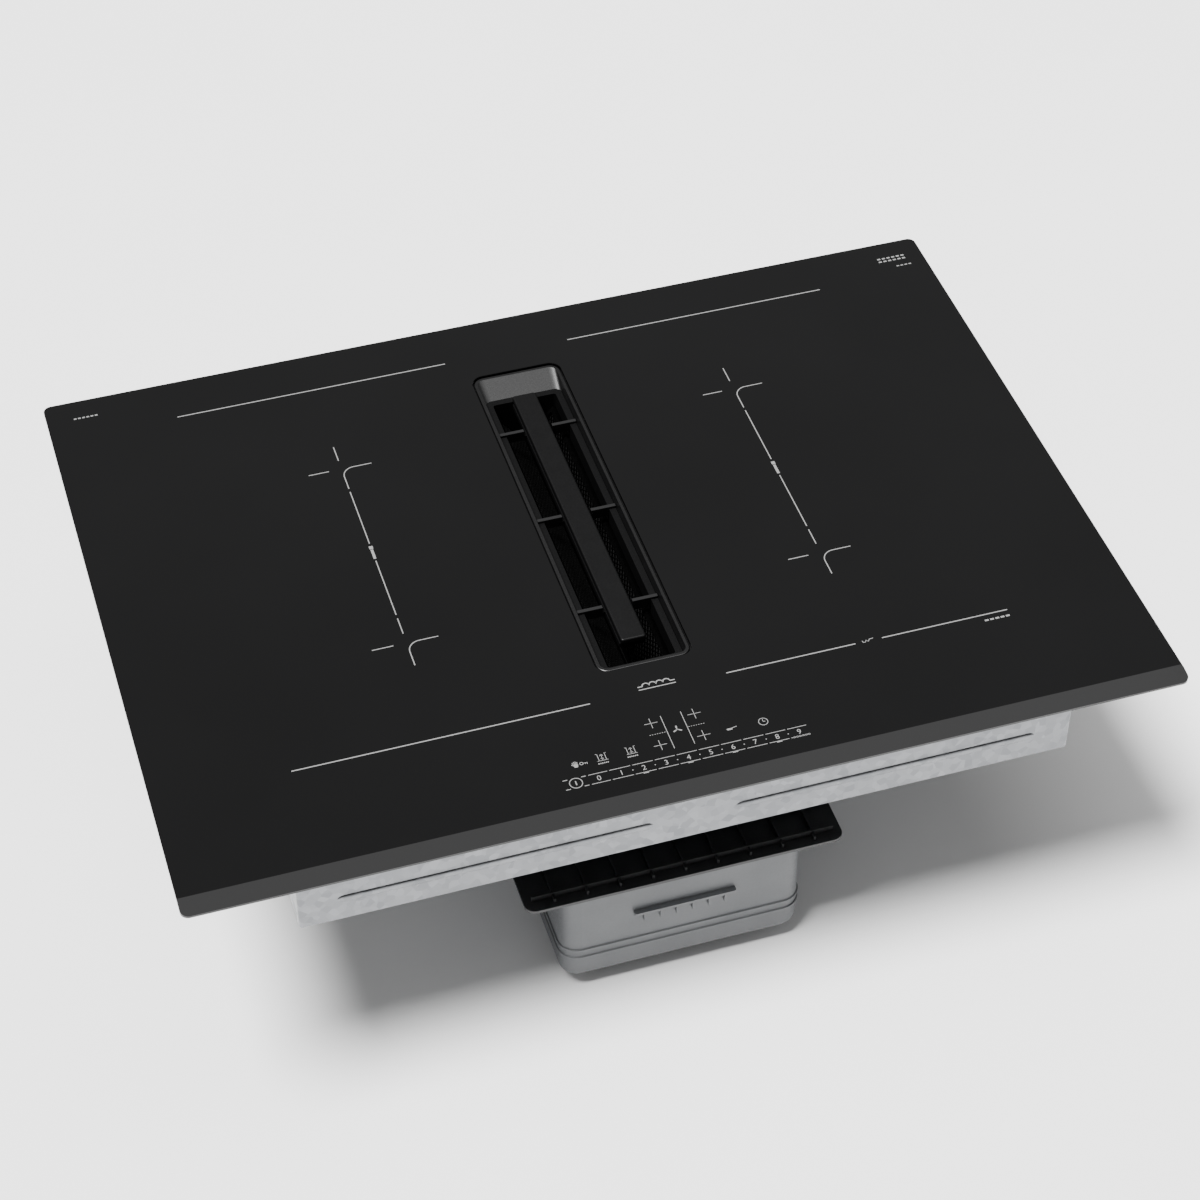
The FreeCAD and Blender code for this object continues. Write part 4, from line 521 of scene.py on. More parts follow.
# Round the coils. Silvery mica sheets keep the heat of the glass off the windings; plastic formers
# carry them, with sintered ferrite bars glued below and a white ceramic heat sensor in each eye.
mica, shader = new_finish("mica_sheet", (0.5, 0.46, 0.38), 0.35)
place = place_on_piece(mica)
flakes = mica.node_tree.nodes.new("ShaderNodeTexVoronoi")
flakes.inputs["Scale"].default_value = 320.0
mica.node_tree.links.new(place, flakes.inputs["Vector"])
vary_colour(mica, shader, flakes.outputs["Distance"], (0.62, 0.57, 0.47), (0.38, 0.34, 0.27), 0.0, 0.8)
vary_roughness(mica, shader, cloud(mica, place, 400.0), 0.2, 0.5)
dress(mica, "mica_sheets")

former_plastic, shader = new_finish("former_plastic", (0.5, 0.45, 0.38), 0.55)
place = place_on_piece(former_plastic)
vary_colour(
    former_plastic, shader, cloud(former_plastic, place, 120.0),
    (0.45, 0.40, 0.33), (0.54, 0.49, 0.42),
)
relief(former_plastic, shader, cloud(former_plastic, place, 2400.0), 0.00005, 0.5)
dress(former_plastic, "coil_formers_left", "coil_formers_right")

ferrite, shader = new_finish("sintered_ferrite", (0.05, 0.05, 0.052), 0.6)
place = place_on_piece(ferrite)
vary_colour(ferrite, shader, cloud(ferrite, place, 500.0, 6.0), (0.035, 0.035, 0.037), (0.075, 0.075, 0.078))
relief(ferrite, shader, cloud(ferrite, place, 3000.0, 6.0), 0.0001, 0.6)
dress(ferrite, "ferrite_bars")

sensor_ceramic, shader = new_finish("sensor_ceramic", (0.82, 0.81, 0.77), 0.7)
place = place_on_piece(sensor_ceramic)
vary_colour(
    sensor_ceramic, shader, cloud(sensor_ceramic, place, 700.0),
    (0.74, 0.73, 0.68), (0.87, 0.86, 0.83),
)
relief(sensor_ceramic, shader, cloud(sensor_ceramic, place, 3500.0), 0.00005, 0.5)
dress(sensor_ceramic, "temperature_sensors")

# Coil carriers, heat sinks and the motor plate. Carriers and plate are punched from aluminium sheet,
# with the lines of the rolls; the heat sinks are drawn profiles. Posts and standoffs are plain plastic.
aluminium, shader = new_finish("mill_aluminium", (0.74, 0.75, 0.76), 0.36, 1.0)
place = place_on_piece(aluminium, (14.0, 900.0, 900.0))
lines = cloud(aluminium, place, 1.0, 6.0)
vary_colour(aluminium, shader, lines, (0.66, 0.67, 0.68), (0.79, 0.80, 0.81))
vary_roughness(aluminium, shader, lines, 0.28, 0.46)
relief(aluminium, shader, lines, 0.00003, 0.5)
dress(aluminium, "coil_carrier_left", "coil_carrier_right", "heatsink_left", "heatsink_right", "motor_mount")

post_plastic, shader = new_finish("natural_nylon", (0.66, 0.63, 0.56), 0.45)
place = place_on_piece(post_plastic)
vary_colour(post_plastic, shader, cloud(post_plastic, place, 200.0), (0.60, 0.57, 0.50), (0.70, 0.68, 0.62))
relief(post_plastic, shader, cloud(post_plastic, place, 1800.0), 0.00004, 0.4)
dress(post_plastic, "carrier_posts", "board_standoffs")

# Circuit boards. Glass-fibre boards under green solder mask: one power board a side, the touch board
# under the glass and the mains filter. Their chokes, capacitors and chips are soldered on.
board_mask, shader = new_finish("solder_mask", (0.02, 0.12, 0.06), 0.3)
place = place_on_piece(board_mask)
tracks = board_mask.node_tree.nodes.new("ShaderNodeTexBrick")
tracks.inputs["Scale"].default_value = 60.0
tracks.inputs["Mortar Size"].default_value = 0.06
tracks.inputs["Color1"].default_value = (0.012, 0.085, 0.042, 1.0)
tracks.inputs["Color2"].default_value = (0.018, 0.11, 0.055, 1.0)
tracks.inputs["Mortar"].default_value = (0.035, 0.19, 0.09, 1.0)
board_mask.node_tree.links.new(place, tracks.inputs["Vector"])
board_mask.node_tree.links.new(tracks.outputs["Color"], shader.inputs["Base Color"])
relief(board_mask, shader, tracks.outputs["Fac"], 0.00003, 0.6)
dress(board_mask, "control_board", "mains_filter_board", "power_board_left", "power_board_right")

ribbon, shader = new_finish("ribbon_cable", (0.5, 0.5, 0.5), 0.5)
place = place_on_piece(ribbon, (1.0, 0.0, 0.0))
cores = ribbon.node_tree.nodes.new("ShaderNodeTexWave")
cores.inputs["Scale"].default_value = 125.0
ribbon.node_tree.links.new(place, cores.inputs["Vector"])
vary_colour(ribbon, shader, cores.outputs["Fac"], (0.36, 0.36, 0.36), (0.58, 0.58, 0.58), 0.0, 1.0)
relief(ribbon, shader, cores.outputs["Fac"], 0.0003, 0.6)
dress(ribbon, "ribbon_cable")

# Small cooling fans, the touch board's cradle, the terminal cover and the drip tray. All are moulded
# in black plastic with a fine spark-eroded grain that keeps them matt.
matt_black, shader = new_finish("matt_black_plastic", (0.003, 0.003, 0.003), 0.55)
place = place_on_piece(matt_black)
vary_colour(
    matt_black, shader, cloud(matt_black, place, 80.0),
    (0.0025, 0.0025, 0.0026), (0.0036, 0.0036, 0.0037),
)
vary_roughness(matt_black, shader, cloud(matt_black, place, 700.0), 0.52, 0.64)
relief(matt_black, shader, cloud(matt_black, place, 4200.0, 5.0), 0.00006, 0.5)
dress(matt_black, "cooling_fan_left", "cooling_fan_right", "control_holder")
dress(matt_black, "terminal_cover", "collecting_tray")

terminal_white, shader = new_finish("terminal_white_plastic", (0.72, 0.71, 0.67), 0.42)
place = place_on_piece(terminal_white)
vary_colour(
    terminal_white, shader, cloud(terminal_white, place, 180.0),
    (0.66, 0.65, 0.60), (0.76, 0.75, 0.72),
)
relief(terminal_white, shader, cloud(terminal_white, place, 2200.0), 0.00004, 0.4)
dress(terminal_white, "terminal_block")

# Tray and motor rotor. Hot-dip galvanised steel: the tray is folded from one sheet, spot welded at its
# corners and glued to the glass; its zinc has frozen in large crystals that catch the light. The base
# colour is a dark mid grey, far below bright zinc: painted shade, for the tray standing in the glass's
# shadow.
# Painted shade: the zinc's base colour is darkened to a mid grey.
shade_darkened_galvanised, shader = new_finish("galvanised_steel", (0.22, 0.225, 0.235), 0.42, 1.0)
place = place_on_piece(shade_darkened_galvanised)
crystals = shade_darkened_galvanised.node_tree.nodes.new("ShaderNodeTexVoronoi")
crystals.inputs["Scale"].default_value = 170.0
crystals.inputs["Randomness"].default_value = 1.0
shade_darkened_galvanised.node_tree.links.new(place, crystals.inputs["Vector"])
split = shade_darkened_galvanised.node_tree.nodes.new("ShaderNodeSeparateColor")
shade_darkened_galvanised.node_tree.links.new(crystals.outputs["Color"], split.inputs["Color"])
vary_colour(shade_darkened_galvanised, shader, split.outputs["Red"], (0.17, 0.175, 0.183), (0.225, 0.23, 0.238), 0.0, 1.0)
vary_roughness(shade_darkened_galvanised, shader, split.outputs["Green"], 0.38, 0.47)
relief(shade_darkened_galvanised, shader, cloud(shade_darkened_galvanised, place, 700.0, 4.0), 0.00004, 0.4)
dress(shade_darkened_galvanised, "induction_tray", "motor_rotor")

tray_low, tray_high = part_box("induction_tray")
bead_half_w = 3.0 * mm
bead_proud = 1.4 * mm
bead_sunk = 0.05 * mm


def add_bead(mesh, start, end, side, out, half_w, height, steps=10):
    """A half-round raised bead between two points, tapering to nothing at both ends."""
    start, end, side, out = Vector(start), Vector(end), Vector(side), Vector(out)
    length = (end - start).length
    rings = []
    for i in range(2 * steps + 1):
        share = i / (2 * steps)
        if share < 0.5:
            along = half_w * 2 * (1 - math.cos(math.pi * share))
        else:
            along = length - half_w * 2 * (1 - math.cos(math.pi * (1 - share)))
        near_end = min(along, length - along)
        taper = math.sqrt(max(0.0, 1 - (1 - min(near_end / (half_w * 2), 1.0)) ** 2))
        taper = max(taper, 0.05)
        middle = start + (end - start) * (along / length)
        ring = []
        for k in range(7):
            angle = math.pi * k / 6
            reach = half_w * taper * math.cos(angle)
            rise = height * taper * math.sin(angle) - bead_sunk
            ring.append(mesh.verts.new(middle + side * reach + out * rise))
        rings.append(ring)
    bridge(mesh, rings, False)


mesh = bmesh.new()
for side in (-1, 1):
    for y in (-190.0, -60.0, -10.0, 40.0, 90.0):
        start = (side * 135 * mm, y * mm, tray_low.z)
        end = (side * 262 * mm, y * mm, tray_low.z)
        add_bead(mesh, start, end, (0, 1, 0), (0, 0, -1), bead_half_w, bead_proud)
    start = (side * tray_high.x, -120 * mm, -30 * mm)
    end = (side * tray_high.x, 120 * mm, -30 * mm)
    add_bead(mesh, start, end, (0, 0, 1), (side, 0, 0), bead_half_w, bead_proud)
    for end_y, out in ((tray_low.y, -1), (tray_high.y, 1)):
        start = (side * 30 * mm, end_y, -38 * mm)
        end = (side * 250 * mm, end_y, -38 * mm)
        add_bead(mesh, start, end, (0, 0, 1), (0, out, 0), bead_half_w, bead_proud)
for face in mesh.faces:
    face.smooth = True
new_piece("tray_beads", mesh, shade_darkened_galvanised, "hob")

# Fixings. Zinc-plated worktop clamps and pan-head screws; the hinge pins of the latches and the shaft
# of the fan are ground steel, and the rail under the filters is blackened stainless steel.
zinc_plate, shader = new_finish("zinc_plate", (0.6, 0.6, 0.57), 0.3, 1.0)
place = place_on_piece(zinc_plate)
vary_colour(zinc_plate, shader, cloud(zinc_plate, place, 160.0, 4.0), (0.52, 0.52, 0.49), (0.67, 0.66, 0.61))
vary_roughness(zinc_plate, shader, cloud(zinc_plate, place, 500.0), 0.24, 0.4)
dress(zinc_plate, "worktop_clamps", "motor_screws", "deck_screws")
dress(zinc_plate, "module_screws", "cover_screws", "board_screws")

ground_steel, shader = new_finish("ground_steel", (0.68, 0.68, 0.69), 0.18, 1.0)
place = place_on_piece(ground_steel, (200.0, 200.0, 3000.0))
turning = cloud(ground_steel, place, 1.0, 2.0)
vary_colour(ground_steel, shader, turning, (0.62, 0.62, 0.63), (0.73, 0.73, 0.74))
vary_roughness(ground_steel, shader, turning, 0.12, 0.26)
dress(ground_steel, "latch_pins", "motor_shaft")

stainless, shader = new_finish("blackened_stainless", (0.012, 0.012, 0.012), 0.4, 1.0)
place = place_on_piece(stainless, (900.0, 12.0, 900.0))
brushing = cloud(stainless, place, 1.0, 5.0)
vary_colour(stainless, shader, brushing, (0.009, 0.009, 0.009), (0.016, 0.016, 0.016))
vary_roughness(stainless, shader, brushing, 0.34, 0.5)
dress(stainless, "filter_rail")

# Cable gland. A black nylon gland screwed into the terminal cover: a hexagon against its wall, a domed
# nut with grip ribs outside, and the thread inside. Its bore takes the mains cable.
gland_low, gland_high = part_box("cable_gland")
gland_y = (gland_low.y + gland_high.y) / 2
gland_z = (gland_low.z + gland_high.z) / 2
gland_bore_r = 6.5 * mm
gland_black, shader = new_finish("gland_nylon", (0.03, 0.03, 0.03), 0.4)
place = place_on_piece(gland_black)
vary_colour(
    gland_black, shader, cloud(gland_black, place, 200.0),
    (0.024, 0.024, 0.024), (0.038, 0.038, 0.038),
)
relief(gland_black, shader, cloud(gland_black, place, 2600.0), 0.00005, 0.4)


def add_turned(mesh, profile, shape, steps):
    """A hollow turned part along X: profile is (x, radius), shape scales the radius by angle."""
    rings = []
    for x, radius in profile:
        ring = []
        for i in range(steps):
            angle = 2 * math.pi * i / steps
            r = shape(angle, radius)
            ring.append(mesh.verts.new((x, gland_y + r * math.cos(angle), gland_z + r * math.sin(angle))))
        rings.append(ring)
    bridge(mesh, rings, True)


def plain_round(angle, radius):
    return radius


mesh = bmesh.new()
wall_x = 258.5 * mm
hexagon_r = 10.9 * mm
flat_r = hexagon_r * math.cos(math.pi / 6)


def hexagonal(angle, radius):
    if radius <= gland_bore_r * 1.01:
        return radius
    turn = (angle + math.pi / 6) % (math.pi / 3) - math.pi / 6
    return min(radius, flat_r / math.cos(turn))


def ribbed(angle, radius):
    if radius <= gland_bore_r * 1.2:
        return radius
    return radius - 0.35 * mm * (0.5 + 0.5 * math.cos(angle * 18))


hexagon_x = wall_x + 3.2 * mm
add_turned(mesh, [
    (wall_x, gland_bore_r), (wall_x, 10.4 * mm),
    (wall_x + 0.4 * mm, hexagon_r), (hexagon_x - 0.4 * mm, hexagon_r),
    (hexagon_x, 10.4 * mm), (hexagon_x, gland_bore_r),
], hexagonal, 72)
add_turned(mesh, [
    (hexagon_x, gland_bore_r), (hexagon_x, 9.6 * mm),
    (hexagon_x + 3.4 * mm, 9.6 * mm), (hexagon_x + 5.2 * mm, 8.6 * mm),
    (gland_high.x, 7.4 * mm), (gland_high.x, gland_bore_r),
], ribbed, 144)
thread = [(gland_low.x, gland_bore_r)]
x = gland_low.x
while x < wall_x - 1.6 * mm:
    thread += [(x, 8.3 * mm), (x + 0.75 * mm, 9.0 * mm)]
    x += 1.5 * mm
thread += [(x, 8.3 * mm), (wall_x, 8.3 * mm), (wall_x, gland_bore_r)]
add_turned(mesh, thread, plain_round, 48)
for face in mesh.faces:
    face.smooth = False
gland = new_piece("gland_body", mesh, gland_black, "hob")
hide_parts("cable_gland")

# Air path. Shaft, plenum, fan deck, spiral housing and duct spigot are injection moulded in grey-black
# polypropylene, with shallow ribs that stiffen their thin walls and beads that grip the duct on the
# spigot. Screws and a tongue join them.
housing, shader = new_finish("housing_polypropylene", (0.010, 0.0103, 0.011), 0.5)
place = place_on_piece(housing)
vary_colour(
    housing, shader, cloud(housing, place, 26.0, 4.0),
    (0.0085, 0.0088, 0.0095), (0.012, 0.0123, 0.013),
)
vary_roughness(housing, shader, cloud(housing, place, 600.0), 0.44, 0.58)
relief(housing, shader, cloud(housing, place, 3800.0, 5.0), 0.00006, 0.5)
dress(housing, "air_shaft", "plenum_wall", "fan_deck", "fan_scroll", "outlet_port")


def add_block(mesh, x0, x1, y0, y1, z0, z1):
    add_slab(mesh, [(x0, y0), (x1, y0), (x1, y1), (x0, y1)], z0, z1)


rib_t = 1.6 * mm
deck_low, deck_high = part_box("fan_deck")
scroll_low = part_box("fan_scroll")[0]
wheel_low, wheel_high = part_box("fan_impeller")
axis = Vector(((wheel_low.x + wheel_high.x) / 2, (wheel_low.y + wheel_high.y) / 2, 0))
scroll_skin = BVHTree.FromObject(cad["fan_scroll"], bpy.context.evaluated_depsgraph_get())
mesh = bmesh.new()
rib_bottom = scroll_low.z + 2 * mm
rib_head = -118 * mm
scroll_mid_z = -165 * mm
scroll_rib_root = 0.4 * mm
scroll_rib_proud = 2.2 * mm
for step in range(5, 34):
    angle = math.radians(step * 10)
    out = Vector((math.cos(angle), math.sin(angle), 0))
    probe = axis + out * 0.4 + Vector((0, 0, scroll_mid_z))
    hit = scroll_skin.ray_cast(probe, -out)[0]
    if hit is None:
        continue
    reach = (Vector((hit.x, hit.y, 0)) - axis).length
    if hit.y > 150 * mm or reach < 0.08:
        continue
    across = Vector((-out.y, out.x, 0)) * (rib_t / 2)
    root = axis + out * (reach - scroll_rib_root)
    tip = axis + out * (reach + scroll_rib_proud)
    outline = [root - across, root + across, tip + across * 0.7, tip - across * 0.7]
    add_slab(mesh, [(p.x, p.y) for p in outline], rib_bottom, rib_head)
for side in (-1, 1):
    for y in (70, 94, 118, 142, 166, 190):
        probe = Vector((side * 0.4, y * mm, scroll_mid_z))
        hit, facing = scroll_skin.ray_cast(probe, Vector((-side, 0, 0)))[:2]
        if hit is None or abs(facing.x) < 0.99 or abs(hit.x) < 80 * mm:
            continue
        x0, x1 = sorted((hit.x - side * scroll_rib_root, hit.x + side * scroll_rib_proud))
        add_block(mesh, x0, x1, y * mm - rib_t / 2, y * mm + rib_t / 2, rib_bottom, rib_head)
new_piece("scroll_ribs", mesh, housing, "hob")

port_low, port_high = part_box("outlet_port")
port_mid_z = (port_low.z + port_high.z) / 2
mesh = bmesh.new()
for back_off in (4.5, 9.5, 14.5):
    rings = []
    for out, y in ((-0.3, -1.1), (1.0, -0.6), (1.0, 0.6), (-0.3, 1.1)):
        half_w, half_h = (111.0 + out) * mm, (44.5 + out) * mm
        y = port_high.y + (y - back_off) * mm
        outline = oblong(-half_w, half_w, port_mid_z - half_h, port_mid_z + half_h)
        rings.append([mesh.verts.new((x, y, z)) for x, z in outline])
    bridge(mesh, rings, True)
new_piece("port_beads", mesh, housing, "hob")

plenum_low, plenum_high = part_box("plenum_wall")
wall_out = 8.0 * mm
wall_rib_root = 0.3 * mm
wall_rib_proud = 3.5 * mm
wall_rib_top = plenum_high.z - 2.4 * mm
floor_rib_z = plenum_low.z - 0.2 * mm
mesh = bmesh.new()
for side, wall_x in ((-1, plenum_low.x + wall_out), (1, plenum_high.x - wall_out)):
    for i in range(11):
        y = plenum_low.y + 25 * mm + i * 31 * mm
        if y < plenum_high.y - 15 * mm:
            x0, x1 = sorted((wall_x - side * wall_rib_root, wall_x + side * wall_rib_proud))
            add_block(mesh, x0, x1, y - rib_t / 2, y + rib_t / 2, plenum_low.z, wall_rib_top)
for out, wall_y in ((-1, plenum_low.y + wall_out), (1, plenum_high.y - wall_out)):
    for i in range(-3, 4):
        y0, y1 = sorted((wall_y - out * wall_rib_root, wall_y + out * wall_rib_proud))
        x0, x1 = (i * 28.0 - 0.8) * mm, (i * 28.0 + 0.8) * mm
        add_block(mesh, x0, x1, y0, y1, plenum_low.z, wall_rib_top)
y0, y1 = deck_low.y + 4 * mm, plenum_low.y + wall_out
for i in range(-4, 5):
    x0, x1 = (i * 24.0 - 0.8) * mm, (i * 24.0 + 0.8) * mm
    add_block(mesh, x0, x1, y0, y1, floor_rib_z, plenum_low.z + 3.5 * mm)
x0, x1 = deck_low.x + 6 * mm, deck_high.x - 6 * mm
for y in (-222.0, -196.0, -170.0):
    y0, y1 = (y - 0.8) * mm, (y + 0.8) * mm
    add_block(mesh, x0, x1, y0, y1, floor_rib_z, plenum_low.z + 4.5 * mm)
new_piece("plenum_ribs", mesh, housing, "hob")

# Fan wheel and motor. The wheel is moulded in glass-filled polyamide; the stator inside the rotor's
# steel cup has teeth of stacked sheet wound with lacquered copper.
wheel_plastic, shader = new_finish("glass_filled_polyamide", (0.045, 0.047, 0.05), 0.55)
place = place_on_piece(wheel_plastic)
vary_colour(
    wheel_plastic, shader, cloud(wheel_plastic, place, 900.0, 6.0),
    (0.032, 0.034, 0.037), (0.062, 0.064, 0.067),
)
relief(wheel_plastic, shader, cloud(wheel_plastic, place, 3200.0, 5.0), 0.00006, 0.5)
dress(wheel_plastic, "fan_impeller", "cooling_impeller_left", "cooling_impeller_right")
dress(copper_wire, "motor_stator")

# Overflow tank. A removable tub moulded in pale grey polypropylene, hung from the deck by two latches
# on steel pins, against a rubber ring. Two raised bands stiffen it and a lip in front is its grip.
tank_low, tank_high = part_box("overflow_tank")
tank_side = 5.0 * mm
tank_rim = 2.0 * mm
tank_corner_r = 14.0 * mm
tank_plastic, shader = new_finish("grey_polypropylene", (0.075, 0.078, 0.082), 0.42)
place = place_on_piece(tank_plastic)
vary_colour(
    tank_plastic, shader, cloud(tank_plastic, place, 22.0, 4.0),
    (0.067, 0.07, 0.074), (0.083, 0.086, 0.09),
)
vary_roughness(tank_plastic, shader, cloud(tank_plastic, place, 500.0), 0.36, 0.5)
relief(tank_plastic, shader, cloud(tank_plastic, place, 3000.0, 4.0), 0.00005, 0.4)
dress(tank_plastic, "overflow_tank", "tank_latch_left", "tank_latch_right")

tub = (tank_low.x + tank_side, tank_high.x - tank_side, tank_low.y + tank_rim, tank_high.y - tank_rim)
mesh = bmesh.new()
for z_mid in (tank_low.z + 22 * mm, tank_low.z + 30 * mm):
    rings = []
    for out, rise in ((-0.3, -1.6), (1.1, -1.0), (1.1, 1.0), (-0.3, 1.6)):
        out, z = out * mm, z_mid + rise * mm
        x0, x1, y0, y1 = tub[0] - out, tub[1] + out, tub[2] - out, tub[3] + out
        outline = rounded_outline(x0, x1, y0, y1, tank_corner_r + out, 8)
        rings.append([mesh.verts.new((x, y, z)) for x, y in outline])
    bridge(mesh, rings, True)
new_piece("tank_bands", mesh, tank_plastic, "tank")

mesh = bmesh.new()
lip_outline = rounded_outline(-38 * mm, 38 * mm, tub[2] - 4 * mm, tub[2] + 1 * mm, 2 * mm, 4)
add_slab(mesh, lip_outline, tank_high.z - 30 * mm, tank_high.z - 27.6 * mm)
y0, y1 = tub[2] - 3.4 * mm, tub[2] + 0.5 * mm
z0, z1 = tank_high.z - 38 * mm, tank_high.z - 29.8 * mm
for x in (-30, -18, -6, 6, 18, 30):
    add_block(mesh, (x - 0.8) * mm, (x + 0.8) * mm, y0, y1, z0, z1)
new_piece("tank_grip", mesh, tank_plastic, "tank")

rubber, shader = new_finish("ring_rubber", (0.018, 0.018, 0.018), 0.7)
place = place_on_piece(rubber)
vary_colour(rubber, shader, cloud(rubber, place, 300.0), (0.014, 0.014, 0.014), (0.024, 0.024, 0.024))
relief(rubber, shader, cloud(rubber, place, 2500.0), 0.00006, 0.4)
dress(rubber, "tank_gasket")

# Cassette frame. One moulding in matt black: the ledge that sits in the inlet, the skirt, the end walls
# and the cross ribs, whose top edges carry a painted highlight: a lighter base colour along the crest.
rib_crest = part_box("filter_frame")[1].z - 0.4 * mm
frame_black, shader = new_finish("frame_black_plastic", (0.0015, 0.0015, 0.0015), 0.5)
shader.inputs["Specular IOR Level"].default_value = 0.1
place = place_on_piece(frame_black)
heights = frame_black.node_tree.nodes.new("ShaderNodeSeparateXYZ")
frame_black.node_tree.links.new(place, heights.inputs["Vector"])
# Painted highlight: the base colour turns lighter over the top 0.2 mm of the cross ribs.
crest_highlight_mask = frame_black.node_tree.nodes.new("ShaderNodeMapRange")
crest_highlight_mask.inputs["From Min"].default_value = rib_crest - 0.2 * mm
crest_highlight_mask.inputs["From Max"].default_value = rib_crest
frame_black.node_tree.links.new(heights.outputs["Z"], crest_highlight_mask.inputs["Value"])
vary_colour(
    frame_black, shader, crest_highlight_mask.outputs["Result"],
    (0.0014, 0.0014, 0.0015), (0.011, 0.011, 0.0112), 0.0, 1.0,
)
vary_roughness(frame_black, shader, cloud(frame_black, place, 700.0), 0.44, 0.56)
relief(frame_black, shader, cloud(frame_black, place, 4200.0, 5.0), 0.00006, 0.5)
dress(frame_black, "filter_frame")

# Grease filters. Two packs of expanded metal lean together over the rail: three layers of slit and
# stretched sheet in a folded edge frame, all coated black. Air passes through, grease stays on them.
mesh_black, shader = new_finish("coated_expanded_metal", (0.0007, 0.0007, 0.0007), 0.34)
shader.inputs["Specular IOR Level"].default_value = 0.08
place = place_on_piece(mesh_black)
vary_colour(
    mesh_black, shader, cloud(mesh_black, place, 600.0),
    (0.0004, 0.0004, 0.0004), (0.0010, 0.0010, 0.0010),
)
vary_roughness(mesh_black, shader, cloud(mesh_black, place, 1500.0), 0.22, 0.42)

pack_t = 4.6
long_way = 6.0
short_way = 3.2
strand_w = 0.75
strand_t = 0.45
edge_w = 3.0
for side, name in ((1, "right"), (-1, "left")):
    low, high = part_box("grease_filter_" + name)
    upright = 7.06 * mm
    inner_x, outer_x = sorted((abs(low.x), abs(high.x)))
    foot = Vector((side * inner_x, low.y, low.z + upright / 2))
    head = Vector((side * outer_x, low.y, high.z - upright / 2))
    slope = head - foot
    width = slope.length / mm
    up_slope = slope.normalized()
    off = up_slope.cross(Vector((0, 1, 0))).normalized()
    length = (high.y - low.y) / mm

    def spot(along, up, out):
        """A point of the pack, in millimetres along it, up its slope and off its middle."""
        return foot + Vector((0, along * mm, 0)) + up_slope * (up * mm) + off * (out * mm)

    mesh = bmesh.new()
    frame_half = pack_t / 2 - 0.15
    lip = 0.7
    inward = [(1, 1), (1, -1), (-1, -1), (-1, 1)]
    corners = [
        (0.2, 1.8), (0.2, width - 1.8), (length - 0.2, width - 1.8), (length - 0.2, 1.8),
    ]
    fold = (
        (-frame_half, 0.0), (frame_half, 0.0),
        (frame_half, edge_w), (frame_half - lip, edge_w),
        (frame_half - lip, lip), (-frame_half + lip, lip),
        (-frame_half + lip, edge_w), (-frame_half, edge_w),
    )
    loops = []
    for out, inset in fold:
        loop = []
        for (a, b), (da, db) in zip(corners, inward):
            loop.append(mesh.verts.new(spot(a + da * inset, b + db * inset, out)))
        loops.append(loop)
    bridge(mesh, loops, True)
    for layer, out in enumerate((-1.2, 0.0, 1.2)):
        rows = int((width - 5.0) / (short_way / 2))
        columns = int((length - 4.0) / (long_way / 2))
        for row in range(rows):
            rings = []
            base = 2.6 + (row + 0.5) * short_way / 2
            for column in range(columns + 1):
                swing = 1 if (column + row + layer) % 2 else -1
                up = base + swing * short_way / 4
                along = 2.0 + column * long_way / 2
                tilt = swing * 0.35
                ring = []
                for du, dn in ((-1, -1), (1, -1), (1, 1), (-1, 1)):
                    off_up = up + du * strand_w / 2
                    off_out = out + dn * strand_t / 2 + du * tilt
                    ring.append(mesh.verts.new(spot(along, off_up, off_out)))
                rings.append(ring)
            bridge(mesh, rings, False)
    pack = new_piece("expanded_metal_" + name, mesh, mesh_black, "filter_cassette")
    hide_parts("grease_filter_" + name)

# Floor, light and camera. A pale floor under the hob, two wide soft panels overhead, a soft key from
# high on the left, and a camera that looks down on the hob from the front left.
mesh = bmesh.new()
bmesh.ops.create_grid(mesh, x_segments=2, y_segments=2, size=8.0)
data = bpy.data.meshes.new("floor")
mesh.to_mesh(data)
mesh.free()
floor = bpy.data.objects.new("floor", data)
bpy.context.scene.collection.objects.link(floor)
floor.location.z = frame_box[0][2] - 0.2 * mm
floor_paint, shader = new_finish("floor_paint", (0.86, 0.86, 0.86), 0.75)
place = place_on_piece(floor_paint)
vary_colour(floor_paint, shader, cloud(floor_paint, place, 3.0), (0.85, 0.85, 0.85), (0.87, 0.87, 0.87))
floor.data.materials.append(floor_paint)

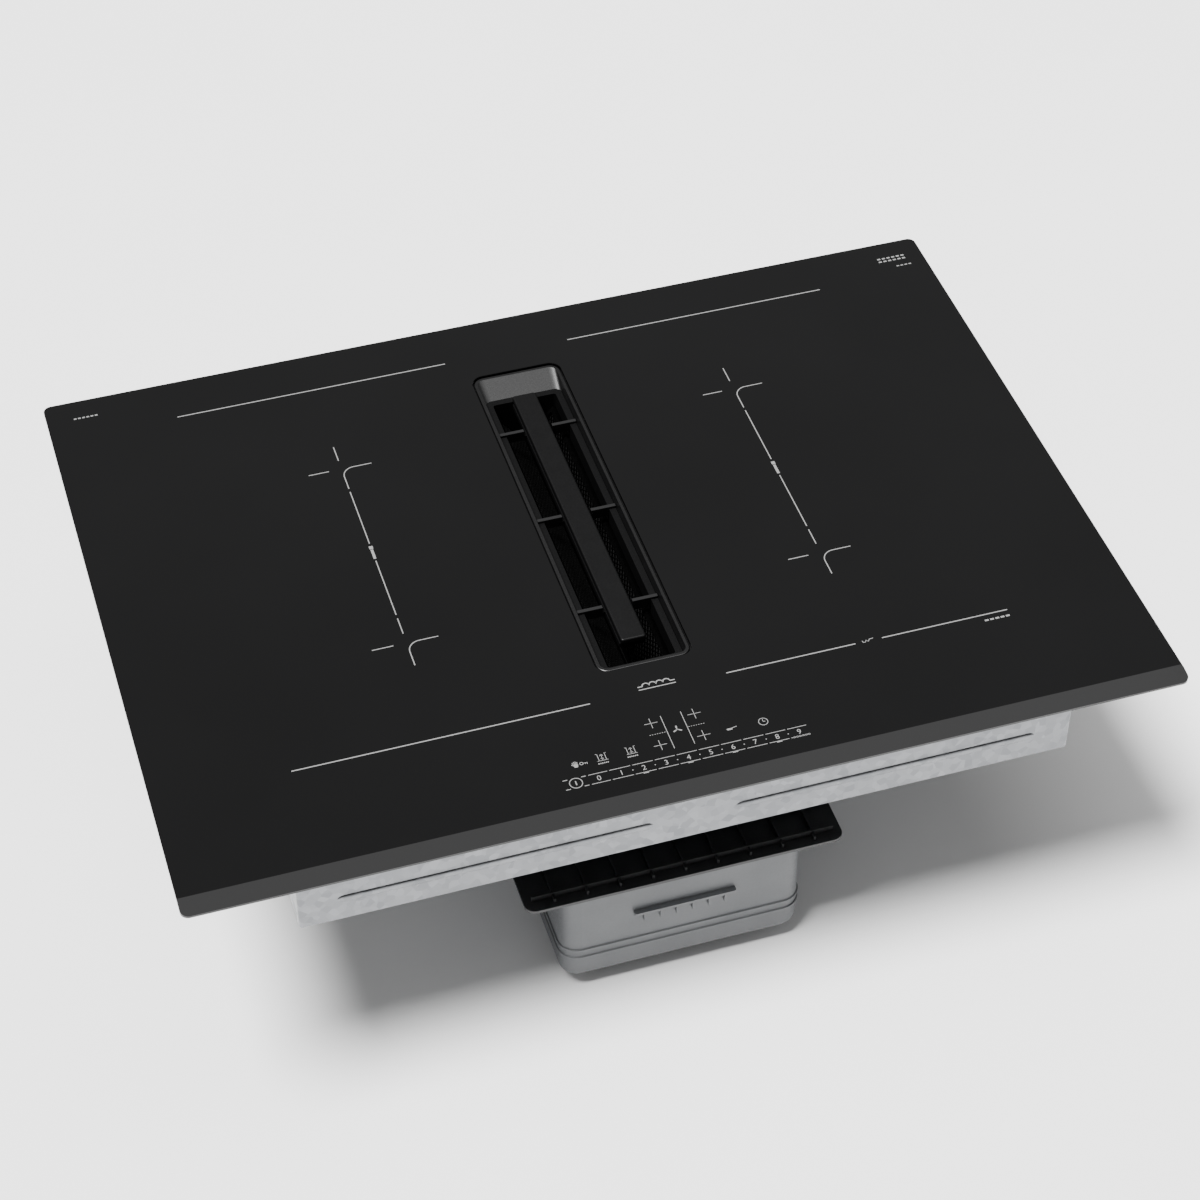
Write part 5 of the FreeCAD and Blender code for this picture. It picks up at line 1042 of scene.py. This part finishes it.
world = bpy.data.worlds.new("studio")
bpy.context.scene.world = world
world.use_nodes = True
sky = world.node_tree
sky.nodes.clear()
seen = sky.nodes.new("ShaderNodeBackground")
seen.inputs["Color"].default_value = (1.0, 1.0, 1.0, 1.0)
seen.inputs["Strength"].default_value = 3.0
lighting = sky.nodes.new("ShaderNodeBackground")
lighting.inputs["Color"].default_value = (1.0, 1.0, 1.0, 1.0)
lighting.inputs["Strength"].default_value = 0.34
path = sky.nodes.new("ShaderNodeLightPath")
choice = sky.nodes.new("ShaderNodeMixShader")
sky_out = sky.nodes.new("ShaderNodeOutputWorld")
sky.links.new(path.outputs["Is Camera Ray"], choice.inputs["Fac"])
sky.links.new(lighting.outputs["Background"], choice.inputs[1])
sky.links.new(seen.outputs["Background"], choice.inputs[2])
sky.links.new(choice.outputs["Shader"], sky_out.inputs["Surface"])


def aim(lamp, spot_at, target):
    lamp.location = spot_at
    lamp.rotation_euler = (Vector(target) - Vector(spot_at)).to_track_quat("-Z", "Y").to_euler()


panel_w = 2.6
for name, depth, power, y in (("overhead_panel", 1.35, 29.0, -0.05), ("rear_panel", 0.9, 8.0, 1.12)):
    panel = bpy.data.lights.new(name, "AREA")
    panel.shape = "RECTANGLE"
    panel.size = panel_w
    panel.size_y = depth
    panel.energy = power
    lamp = bpy.data.objects.new(name, panel)
    bpy.context.scene.collection.objects.link(lamp)
    aim(lamp, (0.3, y, 2.6), (0.3, y, 0.0))

key = bpy.data.lights.new("key_light", "SUN")
key.energy = 10.5
key.angle = math.radians(22)
key_lamp = bpy.data.objects.new("key_light", key)
bpy.context.scene.collection.objects.link(key_lamp)
aim(key_lamp, (-1.15, -0.3, 3.2), (0.0, 0.0, 0.0))

lens = bpy.data.cameras.new("camera")
lens.lens = 89.0
lens.sensor_width = 36.0
lens.clip_start = 0.05
lens.clip_end = 50.0
camera = bpy.data.objects.new("camera", lens)
bpy.context.scene.collection.objects.link(camera)
aim(camera, (-0.4612, -1.5016, 1.4796), (-0.01118, -0.06093, 0.001))
bpy.context.scene.camera = camera
